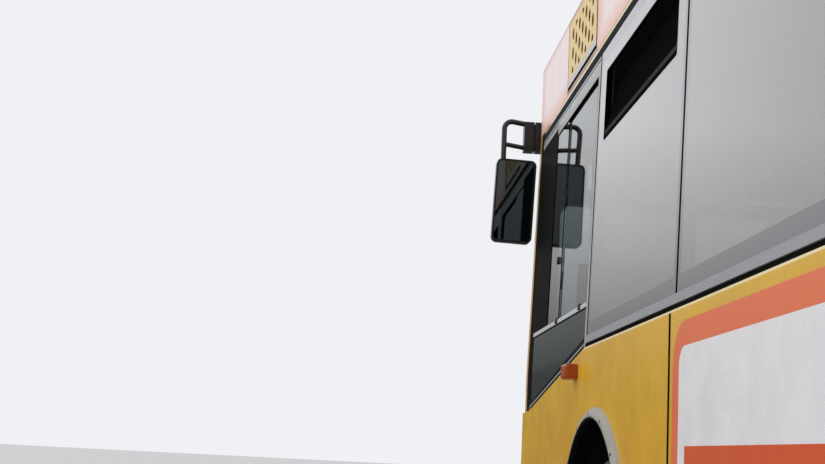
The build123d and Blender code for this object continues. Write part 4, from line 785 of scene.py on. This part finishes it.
def carcass_mesh():
    """One tyre turned about X at the origin: beads, ribbed sidewalls, shoulders and groove floor."""
    bm = bmesh.new()
    outline = TYRE_PROFILE + [(-x, r) for x, r in reversed(TYRE_PROFILE[:-1])]
    rings = []
    for step in range(TYRE_STEPS):
        angle = 2 * math.pi * step / TYRE_STEPS
        rings.append([bm.verts.new((x, r * math.cos(angle), r * math.sin(angle))) for x, r in outline])
    for step in range(TYRE_STEPS):
        here = rings[step]
        after = rings[(step + 1) % TYRE_STEPS]
        for i in range(len(outline)):
            j = (i + 1) % len(outline)
            bm.faces.new((here[i], here[j], after[j], after[i])).smooth = True
    bmesh.ops.recalc_face_normals(bm, faces=bm.faces)
    mesh = bpy.data.meshes.new("carcass")
    bm.to_mesh(mesh)
    bm.free()
    return mesh


tread = tread_ring("tread_blocks", tyre_rubber)
tyre_parts = [(carcass_mesh(), Matrix())]
for row, (offset, width) in enumerate(TREAD_ROWS):
    blocks = grown_mesh(tread, {
        "Count": TREAD_COUNT, "Radius": 0.4735, "Height": 0.0096, "Length": 0.0315, "Width": width})
    stagger = Matrix.Rotation((row % 2) * math.pi / TREAD_COUNT, 4, "Z")
    upright = Matrix.Rotation(math.pi / 2, 4, "Y")
    tyre_parts.append((blocks, Matrix.Translation((offset, 0, 0)) @ upright @ stagger))
whole_tyre = gather("whole_tyre", tyre_parts)
for name, middles in (("front", (WHEEL_X,)), ("rear", (WHEEL_X, TWIN_X))):
    for side, sign in (("left", 1), ("right", -1)):
        mesh = gather(f"dressed_tyre_{name}_{side}", [
            (whole_tyre, Matrix.Translation((sign * x, AXLES_Y[name], TYRE_RADIUS))) for x in middles])
        piece = new_piece(f"dressed_tyre_{name}_{side}", mesh, tyre_rubber, f"wheel_{name}_{side}")
        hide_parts(f"tyre_{name}_{side}")


# Wheels: pressed steel in silver-grey enamel with a soft sheen, each held by ten nuts on its hub face.
# The zinc on the nuts is brighter. They stand square, because their rise is far above the ring.
wheel_enamel = moulding("silver_wheel_enamel", "#A3A4A3", 0.42, 2.5, 0.12, 0.3)
SQUARE_RISE = 1000.0
nut_steel = moulding("zinc_plated_nuts", "#8B8C8A", 0.4, 1.0, 0.1, 0.8)
nuts = grown_mesh(ring_of_heads("nuts_round_hub", nut_steel), {
    "Count": 10, "Ring radius": 0.1395, "Head radius": 0.017, "Face radius": 0.015, "Height": 0.026,
    "Sides": 6, "Rise": SQUARE_RISE})
HUB_FACES = (("front", 1.1043), ("rear", 0.9305))
for name, face_x in HUB_FACES:
    for side, sign in (("left", 1), ("right", -1)):
        dress(f"rim_{name}_{side}", wheel_enamel)
        ring = gather(f"wheel_nuts_{name}_{side}", [
            (nuts, facing_out(sign, face_x - 0.001, AXLES_Y[name], TYRE_RADIUS))])
        new_piece(f"wheel_nuts_{name}_{side}", ring, nut_steel, f"wheel_{name}_{side}")


# Doors: aluminium leaves in black enamel, welded up from tube, with a clear bonded pane in each.
# The enamel has a dull gloss against the mirror-smooth glass.
material, tree, shader, point = new_finish("black_enamel_leaf_and_clear_pane")
x, y, z = add(tree, "ShaderNodeSeparateXYZ", {0: point}).outputs
layer = within(tree, depth_in_wall(tree, x, z), 0.0095, 0.0185)
DOORWAYS = {"front": -5.450, "middle": -1.000, "rear": 3.500}
PANE_ENDS = ((0.070, 0.5265), (0.6735, 1.130))
PANE_Z = (0.480, 2.380)
panes = [area(tree, y, z, (start + low_y, start + high_y, *PANE_Z))
         for start in DOORWAYS.values() for low_y, high_y in PANE_ENDS]
pane = overlap(tree, union(tree, panes), layer)
feed(tree, shader, {"Base Color": coats(tree, "#17181A", [(pane, "#A9B3B2")]), "Transmission Weight": pane})
rough = add(tree, "ShaderNodeMapRange", {0: pane, 3: 0.4, 4: 0.02})
feed(tree, shader, {"Roughness": rough, "IOR": GLASS_IOR})
for doorway in DOORWAYS:
    for leaf in ("front", "rear"):
        dress(f"door_{doorway}_{leaf}", material)


# Front: a windscreen of laminated glass, bonded in, clear inside a printed black border.
# The blank display behind it is matt black, so only the glass shines there. The wipers are black ABS.
material, tree, shader, point = new_finish("laminated_windscreen")
x, y, z = add(tree, "ShaderNodeSeparateXYZ", {0: point}).outputs
inner = panel_distance(tree, x, z, (-1.035, 1.035, 1.330, 2.510), 0.08)
window = panel_distance(tree, x, z, (-0.86, 0.86, 2.615, 2.795), 0.04)
nearest = add(tree, "ShaderNodeMath", {0: inner, 1: window}, operation="MINIMUM")
clear = add(tree, "ShaderNodeMath", {0: nearest, 1: 0.0}, operation="LESS_THAN")
tint = coats(tree, "#08090A", [(clear, "#C3CCCA")])
feed(tree, shader, {"Base Color": tint, "Transmission Weight": clear, "Roughness": 0.02, "IOR": GLASS_IOR})
dress("windscreen", material)
dress("wipers", black_abs)
dress("destination_display", moulding("matt_black_display", "#0E0F10", 0.7, 1.0))

# Headlamps: two silvered bowls behind one clear cover, each with a painted highlight: bright in the middle
# and grey towards the rim.
material, tree, shader, point = new_finish("clear_lamp_polycarbonate")
x, y, z = add(tree, "ShaderNodeSeparateXYZ", {0: point}).outputs
away = add(tree, "ShaderNodeMath", {0: x}, operation="ABSOLUTE")
flat_point = add(tree, "ShaderNodeCombineXYZ", {0: away, 2: z})
# Each bowl is painted bright in the middle and grey towards the rim: a painted highlight.
bowl_highlights = []
for centre in ((0.79, 0, 0.73), (0.95, 0, 0.73)):
    gap = add(tree, "ShaderNodeVectorMath", {0: flat_point, 1: centre}, operation="DISTANCE")
    bowl_highlights.append(add(tree, "ShaderNodeMapRange", {
        0: gap.outputs["Value"], 1: 0.02, 2: 0.068, 3: 1.0, 4: 0.25}))
bright = union(tree, bowl_highlights)
feed(tree, shader, {
    "Base Color": coats(tree, "#4A4D50", [(bright, "#E6E8EA")]), "Metallic": bright, "Roughness": 0.12,
    "Coat Weight": 1.0})
dress("headlamps", material)


# Tail lamps: one ribbed polycarbonate lens each side, red with an amber and a clear window.
# Each is screwed into the rear shell, and the cross ribs break up what it mirrors.
material, tree, shader, point = new_finish("red_and_amber_lamp_polycarbonate")
z = add(tree, "ShaderNodeSeparateXYZ", {0: point}).outputs[2]
colour = coats(tree, "#8A120C", [(within(tree, z, 0.98, 1.09), "#C9601C")])
colour = coats(tree, colour, [(within(tree, z, 0.75, 0.84), "#C4C6C8")])
feed(tree, shader, {"Base Color": colour})
ribs = add(tree, "ShaderNodeTexWave", {"Vector": point, "Scale": 45}, bands_direction="Z")
bump = add(tree, "ShaderNodeBump", {"Height": ribs.outputs[1], "Strength": 0.2, "Distance": 0.001})
feed(tree, shader, {"Normal": bump, "Roughness": 0.2})
dress("tail_lamps", material)


# Cabin: grey vinyl floor with fine specks, blue moulded seats on grey stands, yellow powder-coated poles.
# Walls round the engine and the driver are grey laminate, and the wheel housings have black underseal,
# which swallows the light. The powder coat is bright and smooth, the dashboard skin dull and grained.
material, tree, shader, point = new_finish("speckled_vinyl_floor")
speck = add(tree, "ShaderNodeTexVoronoi", {"Vector": point, "Scale": 160})
speck = add(tree, "ShaderNodeMapRange", {0: speck, 1: 0.0, 2: 0.5, 3: 1.0, 4: 0.0})
feed(tree, shader, {"Base Color": coats(tree, "#3B3E43", [(speck, "#6B6F76")]), "Roughness": 0.6})
dress("floor", material)
laminate = moulding("grey_trim_laminate", "#6D7073", 0.55, 1.5)
for name in ("engine_podium", "cab_partition"):
    dress(name, laminate)
dress("wheelhouses", moulding("black_bitumen_underseal", "#0D0D0D", 0.85, 6.0, 0.3))
material, tree, shader, point = new_finish("blue_moulded_polypropylene")
x, y, z = add(tree, "ShaderNodeSeparateXYZ", {0: point}).outputs
stand = add(tree, "ShaderNodeMath", {0: z, 1: 0.744}, operation="LESS_THAN")
raised = area(tree, y, z, (4.9, 5.9, 1.14, 1.203))
stand = union(tree, [stand, raised])
wear = add(tree, "ShaderNodeTexNoise", {"Vector": point, "Scale": 8, "Detail": 6})
shell = coats(tree, "#20427A", [(wear, "#30558C")])
feed(tree, shader, {"Base Color": coats(tree, shell, [(stand, "#8A8C8E")])})
rough = add(tree, "ShaderNodeMapRange", {0: wear, 3: 0.32, 4: 0.55})
feed(tree, shader, {"Roughness": rough})
dress("seats", material)
dress("handrails", moulding("yellow_powder_coat", "#E0AB14", 0.35, 1.0))
dress("dashboard", moulding("charcoal_dashboard_skin", "#232426", 0.7, 2.0))
dress("steering_wheel", moulding("black_polyurethane_rim", "#141415", 0.5, 1.5))


# Driver's seat: foam cushion and back in dark woven cloth, on a pedestal with rubber bellows.
# The weave scatters light, so the pads have no highlight. They are blown up a little by the cloth
# solver, then pinched along the seam round their edge.
material, tree, shader, point = new_finish("dark_woven_seat_cloth")
weave = add(tree, "ShaderNodeTexChecker", {
    "Vector": point, "Color1": hex_colour("#22262E"), "Color2": hex_colour("#343A46"), "Scale": 260})
feed(tree, shader, {"Base Color": weave})
bump = add(tree, "ShaderNodeBump", {"Height": weave.outputs[1], "Strength": 0.3, "Distance": 0.001})
feed(tree, shader, {"Normal": bump, "Roughness": 0.95, "Sheen Weight": 0.3})
seat_cloth = material


SEAT_X = 0.63
SWELL_FRAMES = 20
SWELL_LIMIT = 0.014
SEAM_PINCH = 0.982


def swollen_pad(name, half, place):
    """A pad made from a rounded block: remeshed, swollen by cloth pressure, seam pinched, then placed."""
    low = [-size for size in half]
    form = bpy.data.objects.new(name, blocks_mesh(name, [(low, half, 0.028)]))
    scene.collection.objects.link(form)
    remesh = form.modifiers.new("skin", "REMESH")
    remesh.mode = "VOXEL"
    remesh.voxel_size = 0.007
    graph = bpy.context.evaluated_depsgraph_get()
    graph.update()
    skin = bpy.data.meshes.new_from_object(form.evaluated_get(graph))
    form.modifiers.clear()
    form.data = skin
    cloth = form.modifiers.new("swell", "CLOTH")
    cloth.settings.use_pressure = True
    cloth.settings.uniform_pressure_force = 4
    cloth.settings.effector_weights.gravity = 0
    for step in range(1, SWELL_FRAMES + 1):
        scene.frame_set(step)
    graph = bpy.context.evaluated_depsgraph_get()
    puffed = bpy.data.meshes.new_from_object(form.evaluated_get(graph))
    form.modifiers.clear()
    scene.frame_set(1)
    for vert, moved in zip(skin.vertices, puffed.vertices):
        shift = moved.co - vert.co
        vert.co += shift * min(1, SWELL_LIMIT / max(shift.length, 1e-6))
    for vert in skin.vertices:
        if abs(vert.co.z) < 0.005 and max(abs(vert.co.x) - half[0], abs(vert.co.y) - half[1]) > -0.02:
            vert.co.x *= SEAM_PINCH
            vert.co.y *= SEAM_PINCH
    skin.transform(place)
    skin.shade_smooth()
    bpy.data.objects.remove(form)
    return skin


tilt = Matrix.Rotation(math.radians(83.5), 4, "X")
for name, half, place in (
        ("driver_seat_cushion", (0.212, 0.215, 0.034), Matrix.Translation((SEAT_X, -4.605, 0.922))),
        ("driver_seat_back", (0.212, 0.330, 0.032), Matrix.Translation((SEAT_X, -4.345, 1.245)) @ tilt)):
    pad = new_piece(name, swollen_pad(name, half, place), seat_cloth, "body")
    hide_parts("driver_seat")
FOLDS = 8
FOLD_FOOT_Z = 0.482
FOLD_HEIGHT = 0.045
folds = []
for fold in range(FOLDS):
    tuck = 0.012 * (fold % 2)
    low = (SEAT_X - 0.13 + tuck, -4.70 + tuck, FOLD_FOOT_Z + fold * FOLD_HEIGHT)
    high = (SEAT_X + 0.13 - tuck, -4.40 - tuck, FOLD_FOOT_Z + (fold + 1) * FOLD_HEIGHT)
    folds.append((low, high, 0.008))
folds.append(((0.43, -4.80, 0.842), (0.83, -4.36, 0.886), 0.008))
bellows = blocks_mesh("driver_seat_pedestal", folds)
pedestal = new_piece("driver_seat_pedestal", bellows, black_abs, "body")
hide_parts("driver_seat")


# Number plates: blank pressed sheets, one on the front shell and one on the engine lid.
# White enamel gives them an even, slightly glossy face.
plate_white = moulding("white_plate_enamel", "#D9D9D6", 0.35, 1.0)
for name, body, low, high in (
        ("plate_front", "body", (-0.26, -6.012, 0.600), (0.26, -5.996, 0.712)),
        ("plate_rear", "engine_lid", (-0.26, 5.999, 0.540), (0.26, 6.004, 0.652))):
    new_piece(name, blocks_mesh(name, [(low, high, 0.002)]), plate_white, body)


# Chassis: welded steel frame in black enamel, cast axles and a plain engine block, dusty from the road.
# The castings look rough and dull brown-grey, the frame a little smoother and blacker.
dress("underframe", moulding("black_chassis_enamel", "#222224", 0.6, 4.0, 0.3))
cast_iron = moulding("dusty_cast_iron", "#3A3836", 0.75, 2.5, 0.25, 0.3)
for name in ("front_axle", "rear_axle", "knuckle_left", "knuckle_right", "engine"):
    dress(name, cast_iron)
